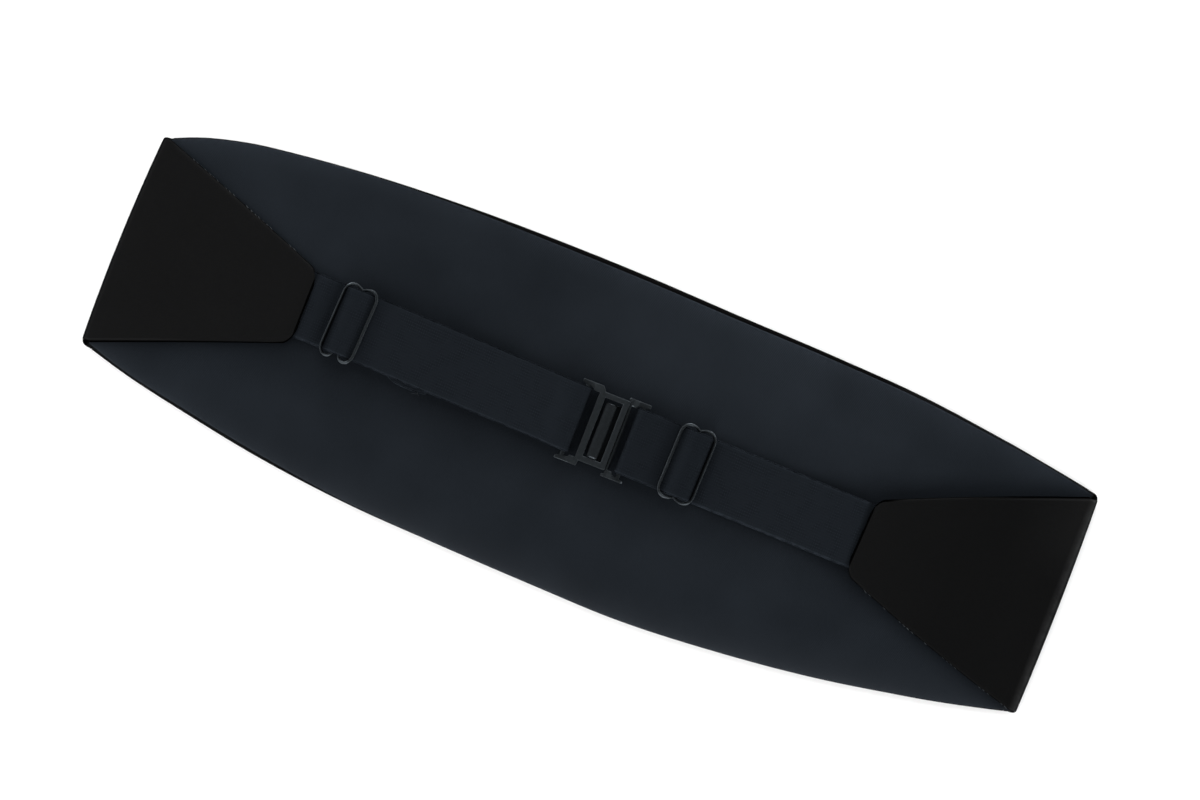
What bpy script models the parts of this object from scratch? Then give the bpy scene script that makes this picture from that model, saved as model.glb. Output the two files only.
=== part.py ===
"""A black evening cummerbund, shown from its back.

It lies on its pleated front with both ends folded in, and its elastic strap is fastened across
the lining. X runs along the garment, +Y is its upper edge and +Z is up. The pleats rest on Z = 0,
and the origin is below the middle of the garment. Everything is in metres; tables of rows are
written in millimetres and turned into metres as they are read.
"""

import math
from collections import namedtuple

import bmesh
import bpy
from mathutils import Matrix, Vector

MM = 0.001


def in_metres(kind, *rows):
    """Rows of millimetres as named rows of metres."""
    return [kind(*(value * MM for value in row)) for row in rows]


# Walls, and the clearance that neighbouring pieces keep.
GAP = 0.3 * MM
FRONT_WALL = 2.0 * MM
LINING_WALL = 1.0 * MM
TAB_WALL = 1.4 * MM
STRAP_WALL = 1.0 * MM
STRAP_WIDTH = 28.0 * MM

# Heights, stacked up from the floor: the front, the lining, then what lies on the lining.
LINING_MIDDLE = FRONT_WALL + GAP + LINING_WALL / 2
LINING_TOP = FRONT_WALL + GAP + LINING_WALL
ON_LINING = LINING_TOP + GAP
TAB_MIDDLE = ON_LINING + TAB_WALL / 2
STRAP_LAYERS = [ON_LINING + STRAP_WALL / 2 + layer * (STRAP_WALL + GAP) for layer in range(3)]

# The body's edges, with the width of satin that shows outside the lining along each.
Section = namedtuple("Section", "x top bottom rim_top rim_bottom")
SECTIONS = in_metres(
    Section,
    (-202.5, 47.3, -41.6, 0.7, 1.3),
    (-190.0, 52.7, -45.1, 0.7, 1.5),
    (-178.2, 56.3, -48.1, 0.7, 1.5),
    (-162.0, 59.6, -51.4, 0.7, 1.5),
    (-121.5, 64.1, -58.6, 0.7, 1.3),
    (-81.0, 66.4, -63.2, 0.9, 0.8),
    (-40.5, 67.1, -65.2, 1.5, 0.7),
    (0.0, 66.7, -66.4, 1.6, 0.7),
    (40.5, 65.3, -67.1, 1.6, 0.7),
    (81.0, 64.1, -64.8, 1.4, 0.7),
    (121.5, 61.7, -60.2, 0.9, 0.7),
    (162.0, 57.2, -53.1, 0.7, 0.7),
    (178.2, 54.7, -49.7, 0.7, 0.7),
    (202.5, 49.3, -43.7, 0.7, 0.7),
)
BODY_STATIONS = 27
LINING_END = 199.5 * MM

# The pleats: where each ends, as a share of the width from the lower edge to the upper one.
# Each one's free edge is its upper one, and it overlaps the foot of the next pleat.
PLEAT_ENDS = (0.205, 0.405, 0.600, 0.795, 1.0)
PLEAT_STEP = 0.9 * MM
# Across a pleat from its foot: how far, as a share of its width, and how high, as a share of the step.
PLEAT_SLOPE = ((0.0, 1.0), (0.14, 0.65), (0.30, 0.15), (0.42, 0.0))
# Back from a pleat's free edge: how far, and how high as a share of the step.
PLEAT_LIP = ((0.7 * MM, 0.0), (0.15 * MM, 0.35))

# The turned edge: in from the outline, and up from the floor.
TURNED_EDGE = (
    (0.9 * MM, 0.0),
    (0.25 * MM, 0.35 * MM),
    (0.0, 0.5 * LINING_TOP),
    (0.15 * MM, LINING_TOP - 0.5 * MM),
)
RIM_ROUND = 0.2 * MM

# The folded ends. fold_* is the fold's outermost line and tip_* the tab's tip, before its corners
# are rounded. bow_* is how far each long edge swells past a straight line.
Tab = namedtuple(
    "Tab",
    "fold_top fold_middle fold_bottom tip_top tip_bottom tip_top_y tip_bottom_y bow_top bow_bottom",
)
TABS = dict(
    zip(
        ("left", "right"),
        in_metres(
            Tab,
            (-202.2, -204.0, -203.4, -123.9, -123.9, 20.1, -10.7, 0.8, 0.3),
            (203.1, 204.0, 203.4, 119.3, 118.3, 15.7, -15.7, 0.9, 0.8),
        ),
    )
)
TAB_SEAM = 197.0 * MM
TAB_CORNER_ALONG = 3.8 * MM
TAB_CORNER_ACROSS = 6.6 * MM

# The wire slides that set the strap's length.
Slide = namedtuple("Slide", "x y")
SLIDES = dict(zip(("left", "right"), in_metres(Slide, (-105.25, 5.1), (43.0, 1.7))))
SLIDE_LEAN = {"left": math.radians(3.5), "right": math.radians(1.5)}
WIRE = 0.6 * MM
BAR_WIRE = 0.56 * MM
SLIDE_HALF_WIDTH = 7.5 * MM
SLIDE_HALF_LENGTH = 15.6 * MM
SLIDE_CORNER = 4.2 * MM
SLIDE_NOTCH = 2.1 * MM
# One side of a slide presses on a single strap, and the other on three layers of it.
SLIDE_LOW = STRAP_LAYERS[0] + STRAP_WALL / 2 + GAP + WIRE
SLIDE_HIGH = STRAP_LAYERS[2] + STRAP_WALL / 2 + 2 * GAP + WIRE
SLIDE_MIDDLE = (SLIDE_LOW + SLIDE_HIGH) / 2
SLIDE_TILT = math.asin((SLIDE_HIGH - SLIDE_LOW) / (2 * SLIDE_HALF_WIDTH))

# The buckle: each half has a bar that its strap loops round.
BUCKLE_WALL = 1.8 * MM
BUCKLE_MIDDLE = STRAP_LAYERS[0] + STRAP_WALL / 2 + GAP + BUCKLE_WALL / 2
BUCKLE_ROUND = 0.5 * MM
TONGUE_WALL = 1.0 * MM
TONGUE_WIDTH = 23.5 * MM
TONGUE_CURL = 1.6 * MM
TONGUE_TURN_X = 5.5 * MM
Half = namedtuple("Half", "bar_x y")
BUCKLE = dict(zip(("left", "right"), in_metres(Half, (-5.8, 2.0), (18.6, 1.6))))

# The strap's middle line from tab to buckle, on each side.
Axis = namedtuple("Axis", "x y")
STRAP_AXES = {
    "left": in_metres(Axis, (-124.0, 5.5), (-105.0, 5.3), (-96.0, 5.1), (-29.0, 3.3), (-3.0, 2.5)),
    "right": in_metres(Axis, (16.0, 2.0), (67.0, 1.2), (118.5, 0.3)),
}
# How far past the slide's middle each strap's turned-back end reaches, and how far it strays sideways.
STRAP_FREE_END = {"left": 38.3 * MM, "right": 13.0 * MM}
STRAP_STRAY = {"left": -2.4 * MM, "right": 0.0}
# The strap is gathered to fit the slide's middle bar, and its threads follow the slide this far out.
STRAP_GATHER = 2.6 * MM
SLIDE_REACH = 8.0 * MM


def material(name, colour, roughness, metallic=0.0):
    """A Principled material. The colour is linear RGB."""
    made = bpy.data.materials.new(name)
    made.use_nodes = True
    shader = made.node_tree.nodes["Principled BSDF"]
    shader.inputs["Base Color"].default_value = (*colour, 1.0)
    shader.inputs["Roughness"].default_value = roughness
    shader.inputs["Metallic"].default_value = metallic
    made.diffuse_color = (*colour, 1.0)
    return made


def mesh_object(name, shape, finish):
    """A bmesh as an object, with its faces turned out and its round places shaded smooth."""
    bmesh.ops.recalc_face_normals(shape, faces=shape.faces)
    mesh = bpy.data.meshes.new(name)
    shape.to_mesh(mesh)
    shape.free()
    mesh.materials.append(finish)
    mesh.shade_smooth()
    mesh.set_sharp_from_angle(angle=math.radians(40))
    made = bpy.data.objects.new(name, mesh)
    bpy.context.scene.collection.objects.link(made)
    return made


def blend(low, high, share):
    return low + (high - low) * share


def ease(start, end, steps):
    """(x, z) points from start to end that leave and arrive level."""
    points = []
    for step in range(steps + 1):
        share = step / steps
        rise = share * share * (3 - 2 * share)
        points.append((blend(start[0], end[0], share), blend(start[1], end[1], rise)))
    return points


def turn(x, z, radius, side, steps):
    """(x, z) points of a half turn from the top of a bar to its foot, round its side towards `side`."""
    angles = [math.pi / 2 - math.pi * step / steps for step in range(steps + 1)]
    return [(x + side * radius * math.cos(a), z + radius * math.sin(a)) for a in angles]


def read_table(rows, x):
    """The row at x, on a smooth curve through the table's rows."""
    x = min(max(x, rows[0].x), rows[-1].x)
    index = next(i for i in range(len(rows) - 1) if x <= rows[i + 1].x)
    around = [rows[max(index - 1, 0)], rows[index], rows[index + 1], rows[min(index + 2, len(rows) - 1)]]
    span = around[2].x - around[1].x
    share = (x - around[1].x) / span
    values = []
    for before, low, high, after in zip(*around):
        leave = (high - before) / (around[2].x - around[0].x) * span
        arrive = (after - low) / (around[3].x - around[1].x) * span
        values.append(
            low * (2 * share**3 - 3 * share**2 + 1)
            + leave * (share**3 - 2 * share**2 + share)
            + high * (3 * share**2 - 2 * share**3)
            + arrive * (share**3 - share**2)
        )
    return type(rows[0])(*values)


def stations(low, high, count):
    return [blend(low, high, i / (count - 1)) for i in range(count)]


def loft(name, loops, finish):
    """A solid through closed loops of the same number of points, with flat ends."""
    shape = bmesh.new()
    rings = [[shape.verts.new(point) for point in loop] for loop in loops]
    for ring, after in zip(rings, rings[1:]):
        for i in range(len(ring)):
            j = (i + 1) % len(ring)
            shape.faces.new((ring[i], ring[j], after[j], after[i]))
    shape.faces.new(rings[0])
    shape.faces.new(rings[-1])
    return mesh_object(name, shape, finish)


def slab(name, rows, wall, finish):
    """A wall of even thickness on a grid of middle points, with a rounded rim that ends on the grid."""
    last_row, last_column = len(rows) - 1, len(rows[0]) - 1

    def step(r, c, along_rows):
        """The way along the grid at one point."""
        if along_rows:
            return rows[min(r + 1, last_row)][c] - rows[max(r - 1, 0)][c]
        return rows[r][min(c + 1, last_column)] - rows[r][max(c - 1, 0)]

    shape = bmesh.new()
    upper, lower, rim = [], [], {}
    for r, row in enumerate(rows):
        upper.append([])
        lower.append([])
        for c, point in enumerate(row):
            along, across = step(r, c, True).normalized(), step(r, c, False).normalized()
            normal = along.cross(across).normalized()
            outward = along * ((r == last_row) - (r == 0)) + across * ((c == last_column) - (c == 0))
            inset = point - outward * 0.35 * wall
            upper[r].append(shape.verts.new(inset + normal * wall / 2))
            lower[r].append(shape.verts.new(inset - normal * wall / 2))
            if outward.length > 0:
                rim[r, c] = shape.verts.new(point)
    for r in range(last_row):
        for c in range(last_column):
            for sheet in (upper, lower):
                shape.faces.new((sheet[r][c], sheet[r + 1][c], sheet[r + 1][c + 1], sheet[r][c + 1]))
    border = [(r, 0) for r in range(last_row)]
    border += [(last_row, c) for c in range(last_column)]
    border += [(r, last_column) for r in range(last_row, 0, -1)]
    border += [(0, c) for c in range(last_column, 0, -1)]
    for here, there in zip(border, border[1:] + border[:1]):
        for sheet in (upper, lower):
            shape.faces.new((rim[here], rim[there], sheet[there[0]][there[1]], sheet[here[0]][here[1]]))
    return mesh_object(name, shape, finish)


def front_section(x):
    """The front's outline across the garment at x: pleats below, and a turned edge on each side."""
    body = read_table(SECTIONS, x)
    width = body.top - body.bottom
    outline = [(body.bottom + TURNED_EDGE[0][0], 0.0)]
    for low, high in zip((0.0, *PLEAT_ENDS), PLEAT_ENDS):
        foot, free = body.bottom + low * width, body.bottom + high * width
        if low > 0.0:
            outline += [(blend(foot, free, share), rise * PLEAT_STEP) for share, rise in PLEAT_SLOPE]
        if high < 1.0:
            outline += [(free - back, rise * PLEAT_STEP) for back, rise in PLEAT_LIP]
    upper_rim, lower_rim = body.top - body.rim_top, body.bottom + body.rim_bottom
    outline += [(body.top - inward, z) for inward, z in TURNED_EDGE]
    outline += [(upper_rim + RIM_ROUND, LINING_TOP), (upper_rim, LINING_TOP - RIM_ROUND)]
    outline += [(upper_rim, FRONT_WALL), (lower_rim, FRONT_WALL)]
    outline += [(lower_rim, LINING_TOP - RIM_ROUND), (lower_rim - RIM_ROUND, LINING_TOP)]
    outline += [(body.bottom + inward, z) for inward, z in reversed(TURNED_EDGE[1:])]
    return [(x, y, z) for y, z in outline]


def make_front(finish):
    loops = [front_section(x) for x in stations(-TAB_SEAM, TAB_SEAM, BODY_STATIONS)]
    return loft("front_panel", loops, finish)


def make_lining(finish):
    rows = []
    for x in [-LINING_END, *stations(-TAB_SEAM, TAB_SEAM, BODY_STATIONS), LINING_END]:
        body = read_table(SECTIONS, x)
        low = body.bottom + body.rim_bottom + GAP
        high = body.top - body.rim_top - GAP
        rows.append([Vector((x, y, LINING_MIDDLE)) for y in stations(low, high, 4)])
    return slab("back_lining", rows, LINING_WALL, finish)


def make_tab(side, finish):
    """One folded end: a short stretch on the floor, the fold, then the tapered tab on the lining."""
    tab = TABS[side]
    away = -1 if side == "left" else 1
    columns = stations(0.0, 1.0, 7)
    floor_middle = TAB_WALL / 2
    fold_middle = (TAB_MIDDLE + floor_middle) / 2
    fold_radius = (TAB_MIDDLE - floor_middle) / 2

    def fold_x(share):
        """The middle surface's x at the end of the flat stretches, just before it turns up."""
        outermost = (
            tab.fold_top * (1 - share) * (1 - 2 * share)
            + tab.fold_middle * 4 * share * (1 - share)
            + tab.fold_bottom * share * (2 * share - 1)
        )
        return outermost - away * (fold_radius + TAB_WALL / 2)

    seam_x = away * (TAB_SEAM + GAP)
    seam, fold = read_table(SECTIONS, seam_x), read_table(SECTIONS, fold_x(0.0))
    rows = [[Vector((seam_x, blend(seam.top, seam.bottom, c), floor_middle)) for c in columns]]
    for angle in (math.radians(a) for a in range(-90, 91, 20)):
        tuck = 0.7 * MM * math.cos(angle)
        rows.append(
            [
                Vector(
                    (
                        fold_x(c) + away * fold_radius * math.cos(angle),
                        blend(fold.top - tuck, fold.bottom + tuck, c),
                        fold_middle + fold_radius * math.sin(angle),
                    )
                )
                for c in columns
            ]
        )
    corner = [1 - math.sin(math.radians(a)) for a in (0, 20, 40, 60, 75, 90)]
    length = abs(tab.tip_top - fold_x(0.5))
    from_tip = [length * share for share in (0.85, 0.7, 0.55, 0.4, 0.25, 0.12)]
    from_tip += [TAB_CORNER_ALONG * share for share in corner]
    for distance in from_tip:
        share = 1 - distance / length
        near = max(1 - distance / TAB_CORNER_ALONG, 0.0)
        inset = TAB_CORNER_ACROSS * (1 - math.sqrt(1 - near * near))
        swell = 4 * share * (1 - share)
        high = blend(fold.top, tab.tip_top_y, share) + tab.bow_top * swell - inset
        low = blend(fold.bottom, tab.tip_bottom_y, share) - tab.bow_bottom * swell + inset
        rows.append(
            [
                Vector(
                    (
                        blend(fold_x(c), blend(tab.tip_top, tab.tip_bottom, c), share),
                        blend(high, low, c),
                        TAB_MIDDLE,
                    )
                )
                for c in columns
            ]
        )
    return slab(f"tab_{side}", rows, TAB_WALL, finish)


def strap_path(side):
    """A strap's middle surface from its tab to its free end, as (x, z) points, and the points' marks.

    Seen from the tab, it dips under the slide's near wire, climbs over the middle bar, dips under
    the far wire, runs to the buckle and turns round its bar. It comes back below itself, turns
    round the slide's middle bar and lies back under both layers. The marks are the places in the
    list where the turn round the slide's bar begins and ends, and where the free end begins.
    """
    toward = 1 if side == "left" else -1
    tab, slide, bar_x = TABS[side], SLIDES[side].x, BUCKLE[side].bar_x
    single, double, triple = STRAP_LAYERS
    bar_turn = BUCKLE_WALL / 2 + GAP + STRAP_WALL / 2
    slide_turn = WIRE + GAP + STRAP_WALL / 2
    loop_top, loop_foot = SLIDE_MIDDLE + slide_turn, SLIDE_MIDDLE - slide_turn
    crest = loop_top + STRAP_WALL + GAP
    to_bar, to_end = abs(bar_x - slide), STRAP_FREE_END[side]

    def at(distance, z):
        """A point at a distance past the slide's middle, towards the buckle."""
        return slide + toward * distance, z

    tab_tip = min(abs(tab.tip_top), abs(tab.tip_bottom))
    path = [(-toward * (tab_tip - GAP), TAB_MIDDLE), at(-11 * MM, single)]
    path += ease(at(-6.3 * MM, single), at(-1.0 * MM, crest), 8)
    path += ease(at(0.8 * MM, crest), at(6.0 * MM, triple), 8)
    upper_turn = at(to_bar - 2 * MM, BUCKLE_MIDDLE + bar_turn)
    if to_bar - to_end > 25 * MM:
        path += ease(at(to_end + 1 * MM, triple), at(to_end + 10 * MM, double), 4)
        path += ease(at(to_bar - 12 * MM, double), upper_turn, 5)
    else:
        path += ease(at(9 * MM, triple), upper_turn, 4)
    path += turn(bar_x, BUCKLE_MIDDLE, bar_turn, toward, 12)
    path += ease(at(to_end + 8 * MM, single), at(to_end + 1.2 * MM, double), 4)
    path += ease(at(5.2 * MM, double), at(0.2 * MM, loop_top), 8)
    loop_begins = len(path)
    path += turn(slide, SLIDE_MIDDLE, slide_turn, -toward, 12)
    loop_ends = len(path)
    path += ease(at(0.3 * MM, loop_foot), at(5.0 * MM, single), 5)
    end_begins = len(path)
    path += [at(blend(5.0 * MM, to_end, share), single) for share in (0.3, 0.5, 0.65, 0.8, 1.0)]
    return path, (loop_begins, loop_ends, end_begins)


def make_strap(side, finish):
    """The strap as one ribbon. Its threads lean as its slide does, and square up at both ends."""
    path, (loop_begins, loop_ends, end_begins) = strap_path(side)
    slide, bar_x, tab_x = SLIDES[side].x, BUCKLE[side].bar_x, path[0][0]
    rows = []
    for number, (x, z) in enumerate(path):
        end_x = bar_x if (x - slide) * (bar_x - slide) > 0 else tab_x
        beyond = max(abs(x - slide) - SLIDE_REACH, 0.0) / (abs(end_x - slide) - SLIDE_REACH)
        lean = math.tan(SLIDE_LEAN[side]) * max(1.0 - beyond, 0.0)
        from_loop = max(loop_begins - number, number - loop_ends, 0)
        half_width = STRAP_WIDTH / 2 - STRAP_GATHER / 2 * max(1.0 - from_loop / 9, 0.0)
        stray = STRAP_STRAY[side] * max(number - end_begins, 0) / (len(path) - 1 - end_begins)
        row = []
        for across in (-half_width, half_width):
            place = x + across * lean
            row.append(Vector((place, read_table(STRAP_AXES[side], place).y + across + stray, z)))
        rows.append(row)
    return slab(f"strap_{side}", rows, STRAP_WALL, finish)


def tube(name, centres, radius, sides, finish, closed):
    """A round wire along centres that lie in the XY plane."""
    shape = bmesh.new()
    rings = []
    count = len(centres)
    for i, centre in enumerate(centres):
        before = centres[(i - 1) % count] if closed else centres[max(i - 1, 0)]
        after = centres[(i + 1) % count] if closed else centres[min(i + 1, count - 1)]
        outward = (after - before).normalized().cross(Vector((0, 0, 1)))
        ring = []
        for k in range(sides):
            angle = 2 * math.pi * (k + 0.5) / sides
            offset = outward * math.cos(angle) + Vector((0, 0, math.sin(angle)))
            ring.append(shape.verts.new(centre + offset * radius))
        rings.append(ring)
    pairs = list(zip(rings, rings[1:])) + ([(rings[-1], rings[0])] if closed else [])
    for ring, following in pairs:
        for k in range(sides):
            j = (k + 1) % sides
            shape.faces.new((ring[k], ring[j], following[j], following[k]))
    if not closed:
        shape.faces.new(rings[0])
        shape.faces.new(rings[-1])
    return mesh_object(name, shape, finish)


def slide_outline():
    """The slide's wire, as points round it: two straight sides, round corners and a notch at each end."""
    flat = SLIDE_HALF_WIDTH - SLIDE_CORNER
    end = []
    for degrees in range(0, 91, 15):
        angle = math.radians(degrees)
        end.append(
            (
                flat + SLIDE_CORNER * math.cos(angle),
                SLIDE_HALF_LENGTH - SLIDE_CORNER + SLIDE_CORNER * math.sin(angle),
            )
        )
    for x in stations(flat, -flat, 9)[1:-1]:
        end.append((x, SLIDE_HALF_LENGTH - SLIDE_NOTCH * (0.5 + 0.5 * math.cos(math.pi * x / flat))))
    end += [(-x, y) for x, y in reversed(end[:7])]
    return [Vector((x, y, 0)) for x, y in end] + [Vector((-x, -y, 0)) for x, y in end]


def join(main, other):
    """Makes `other` part of `main`, as one body, and hides it."""
    union = main.modifiers.new("Join", "BOOLEAN")
    union.operation = "UNION"
    union.object = other
    other.hide_render = True
    other.display_type = "WIRE"


def make_slide(side, finish):
    """A bent wire with a middle bar, tipped up on the side where the strap is three layers thick."""
    tilt = -SLIDE_TILT if side == "left" else SLIDE_TILT
    wire = tube(f"slide_{side}", slide_outline(), WIRE, 10, finish, closed=True)
    reach = SLIDE_HALF_LENGTH - SLIDE_NOTCH
    ends = [Vector((0, -reach, 0)), Vector((0, reach, 0))]
    bar = tube(f"slide_{side}_bar", ends, BAR_WIRE, 10, finish, closed=False)
    join(wire, bar)
    centre = SLIDES[side]
    place = Matrix.Translation((centre.x, centre.y, SLIDE_MIDDLE))
    place @= Matrix.Rotation(-SLIDE_LEAN[side], 4, "Z") @ Matrix.Rotation(tilt, 4, "Y")
    for made in (wire, bar):
        made.matrix_world = place
    return wire


def plate(name, corners, cells, finish):
    """A flat casting, from cells that share named corners, with its edges rounded over."""
    shape = bmesh.new()
    low = BUCKLE_MIDDLE - BUCKLE_WALL / 2
    points = {key: shape.verts.new((x * MM, y * MM, low)) for key, (x, y) in corners.items()}
    faces = [shape.faces.new([points[key] for key in cell]) for cell in cells]
    raised = bmesh.ops.extrude_face_region(shape, geom=faces)["geom"]
    for vertex in raised:
        if isinstance(vertex, bmesh.types.BMVert):
            vertex.co.z += BUCKLE_WALL
    made = mesh_object(name, shape, finish)
    rounding = made.modifiers.new("Rounded edges", "BEVEL")
    rounding.width = BUCKLE_ROUND
    rounding.segments = 2
    rounding.limit_method = "ANGLE"
    return made


def both_ends(half):
    """Named corners of a casting's upper half, and the same ones mirrored, as lower_*."""
    corners = dict(half)
    corners.update({f"lower_{key}": (x, -y) for key, (x, y) in half.items()})
    return corners


def make_buckle_frame(finish):
    """The slotted half: a slot between two posts, and a pair of arms that carry the left strap's bar."""
    corners = both_ends(
        {
            "arm_tip_out": (-8.6, 17.1),
            "arm_tip_in": (-8.6, 15.9),
            "bar_back": (-6.6, 15.1),
            "bar_front": (-5.0, 15.0),
            "shoulder": (-3.2, 14.95),
            "root": (-2.9, 14.0),
            "post_out": (-0.4, 14.0),
            "bar_back_out": (-6.6, 17.1),
            "bar_front_out": (-5.0, 17.1),
            "shoulder_out": (-3.2, 17.1),
            "root_out": (-2.9, 17.1),
            "post_top": (-0.4, 17.1),
            "arm_root_out": (1.0, 17.1),
            "post_inner": (2.6, 15.0),
            "slot_near": (2.6, 12.45),
            "slot_far": (10.1, 12.45),
            "far_inner": (10.1, 15.0),
            "far_out": (12.6, 15.0),
            "far_side": (12.6, 12.45),
            "post_side": (-0.4, 12.45),
        }
    )
    upper = [
        ("arm_tip_out", "arm_tip_in", "bar_back", "bar_back_out"),
        ("bar_back_out", "bar_back", "bar_front", "bar_front_out"),
        ("bar_front_out", "bar_front", "shoulder", "shoulder_out"),
        ("shoulder_out", "shoulder", "root", "root_out"),
        ("root_out", "root", "post_out", "post_top"),
        ("post_top", "post_out", "post_side", "slot_near", "post_inner", "arm_root_out"),
        ("post_inner", "slot_near", "slot_far", "far_inner"),
        ("far_inner", "slot_far", "far_side", "far_out"),
    ]
    cells = upper + [tuple(f"lower_{key}" for key in reversed(cell)) for cell in upper]
    cells += [
        ("bar_back", "lower_bar_back", "lower_bar_front", "bar_front"),
        ("post_side", "lower_post_side", "lower_slot_near", "slot_near"),
        ("slot_far", "lower_slot_far", "lower_far_side", "far_side"),
    ]
    made = plate("buckle_frame", corners, cells, finish)
    made.location.y = BUCKLE["left"].y
    return made


def make_buckle_hook(finish):
    """The hook half: a post and arms for the right strap's bar, and a tongue curled up in the slot."""
    corners = both_ends(
        {
            "arm_tip_out": (21.4, 16.9),
            "arm_tip_in": (21.4, 15.7),
            "bar_back": (19.4, 15.0),
            "bar_front": (17.8, 14.9),
            "shoulder": (16.0, 14.85),
            "root": (15.7, 13.8),
            "post_out": (13.9, 13.8),
            "bar_back_out": (19.4, 16.9),
            "bar_front_out": (17.8, 16.9),
            "shoulder_out": (16.0, 16.9),
            "root_out": (15.7, 16.9),
            "post_top": (13.9, 16.9),
            "corner_out": (12.9, 16.9),
            "corner_in": (12.9, 15.7),
            "wing_out": (11.8, 16.9),
            "wing_in": (11.8, 15.7),
            "post_side": (12.9, 13.8),
        }
    )
    upper = [
        ("arm_tip_out", "bar_back_out", "bar_back", "arm_tip_in"),
        ("bar_back_out", "bar_front_out", "bar_front", "bar_back"),
        ("bar_front_out", "shoulder_out", "shoulder", "bar_front"),
        ("shoulder_out", "root_out", "root", "shoulder"),
        ("root_out", "post_top", "post_out", "root"),
        ("post_top", "corner_out", "corner_in", "post_side", "post_out"),
        ("corner_out", "wing_out", "wing_in", "corner_in"),
    ]
    cells = upper + [tuple(f"lower_{key}" for key in reversed(cell)) for cell in upper]
    cells += [
        ("bar_front", "lower_bar_front", "lower_bar_back", "bar_back"),
        ("post_side", "lower_post_side", "lower_post_out", "post_out"),
    ]
    made = plate("buckle_hook", corners, cells, finish)
    made.location.y = BUCKLE["right"].y

    foot = ON_LINING + TONGUE_WALL / 2
    lip = foot + 2 * TONGUE_CURL
    path = [(13.8 * MM, foot + TONGUE_WALL), (13.4 * MM, foot + 0.15 * MM)]
    path += [(12.7 * MM, foot), (9.0 * MM, foot)]
    path += reversed(turn(TONGUE_TURN_X, foot + TONGUE_CURL, TONGUE_CURL, -1, 10))
    path += [(7.0 * MM, lip - 0.05 * MM), (8.3 * MM, lip - 0.2 * MM)]
    rows = [[Vector((x, y, z)) for y in (-TONGUE_WIDTH / 2, TONGUE_WIDTH / 2)] for x, z in path]
    tongue = slab("buckle_tongue", rows, TONGUE_WALL, finish)
    tongue.location.y = BUCKLE["right"].y
    join(made, tongue)
    return made


def clear_scene():
    for old in list(bpy.data.objects):
        bpy.data.objects.remove(old, do_unlink=True)


def main():
    clear_scene()
    satin = material("black_satin", (0.008, 0.008, 0.008), 0.38)
    lining = material("navy_lining", (0.013, 0.016, 0.021), 0.75)
    elastic = material("woven_elastic", (0.010, 0.013, 0.017), 0.8)
    metal = material("black_painted_metal", (0.012, 0.014, 0.015), 0.35, metallic=0.2)
    make_front(satin)
    make_lining(lining)
    for side in ("left", "right"):
        make_tab(side, satin)
        make_strap(side, elastic)
        make_slide(side, metal)
    make_buckle_frame(metal)
    make_buckle_hook(metal)


main()
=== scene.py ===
"""The looks of a black evening cummerbund, seen from its back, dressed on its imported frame.

Each cloth piece is a thin shell on its solid's form: the pleated satin front, the lining, the two
folded ends and the two elastic straps. The metal is a pair of bent wire slides and a cast buckle.
X runs along the garment, +Y is its upper edge and +Z is up. Tables of rows are in millimetres.
"""

import math
from collections import namedtuple

import bmesh
import bpy
from mathutils import Matrix, Vector, noise


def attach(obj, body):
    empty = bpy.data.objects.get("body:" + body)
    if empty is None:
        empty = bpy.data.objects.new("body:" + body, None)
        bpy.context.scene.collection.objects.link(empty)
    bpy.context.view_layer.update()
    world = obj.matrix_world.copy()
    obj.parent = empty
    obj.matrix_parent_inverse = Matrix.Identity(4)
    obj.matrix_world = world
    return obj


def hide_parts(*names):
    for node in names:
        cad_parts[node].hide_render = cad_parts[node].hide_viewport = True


MM = 0.001
SIDES = ("left", "right")
AWAY = {"left": -1, "right": 1}

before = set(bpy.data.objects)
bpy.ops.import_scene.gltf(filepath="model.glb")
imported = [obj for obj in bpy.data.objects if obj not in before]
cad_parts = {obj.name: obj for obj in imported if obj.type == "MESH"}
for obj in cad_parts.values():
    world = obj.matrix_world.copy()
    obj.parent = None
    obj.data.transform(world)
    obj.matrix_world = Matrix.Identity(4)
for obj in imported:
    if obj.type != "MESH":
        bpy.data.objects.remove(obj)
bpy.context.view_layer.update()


def in_metres(kind, *rows):
    """Rows of millimetres as named rows of metres."""
    return [kind(*(value * MM for value in row)) for row in rows]


# Walls of the shells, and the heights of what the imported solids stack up.
SATIN = 0.4 * MM
LINING = 0.5 * MM
STRAP_WALL = 1.0 * MM
STRAP_WIDTH = 28.0 * MM
GAP = 0.3 * MM
HEM_MIDDLE = 1.9 * MM
LINING_TOP = 3.3 * MM
STRAP_LAYERS = [4.1 * MM, 5.4 * MM, 6.7 * MM]

# The body's edges, with the width of satin that shows outside the lining along each.
Section = namedtuple("Section", "x top bottom rim_top rim_bottom")
SECTIONS = in_metres(
    Section,
    (-202.5, 47.3, -41.6, 0.6, 1.4),
    (-190.0, 52.7, -45.1, 0.4, 0.9),
    (-178.2, 56.3, -48.1, 0.35, 0.8),
    (-162.0, 59.6, -51.4, 0.3, 1.0),
    (-121.5, 64.1, -58.6, 0.3, 1.1),
    (-81.0, 66.4, -63.2, 0.8, 0.4),
    (-40.5, 67.1, -65.2, 1.5, 0.1),
    (0.0, 66.7, -66.6, 1.7, 0.05),
    (40.5, 65.3, -67.35, 1.6, 0.05),
    (81.0, 64.1, -64.8, 1.4, 0.05),
    (121.5, 62.0, -60.2, 1.3, 0.05),
    (162.0, 57.2, -53.1, 0.8, 0.1),
    (178.2, 54.7, -49.7, 0.6, 0.15),
    (191.0, 52.6, -46.6, 0.75, 0.28),
    (202.5, 50.5, -43.7, 0.9, 0.4),
)
BODY_END = 198.6 * MM
LINING_END = 200.5 * MM
# The lining slopes down towards its long edges, where it is felled onto the turned satin.
EDGE_DROP = 0.6 * MM
EDGE_REACH = 4.5 * MM

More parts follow.
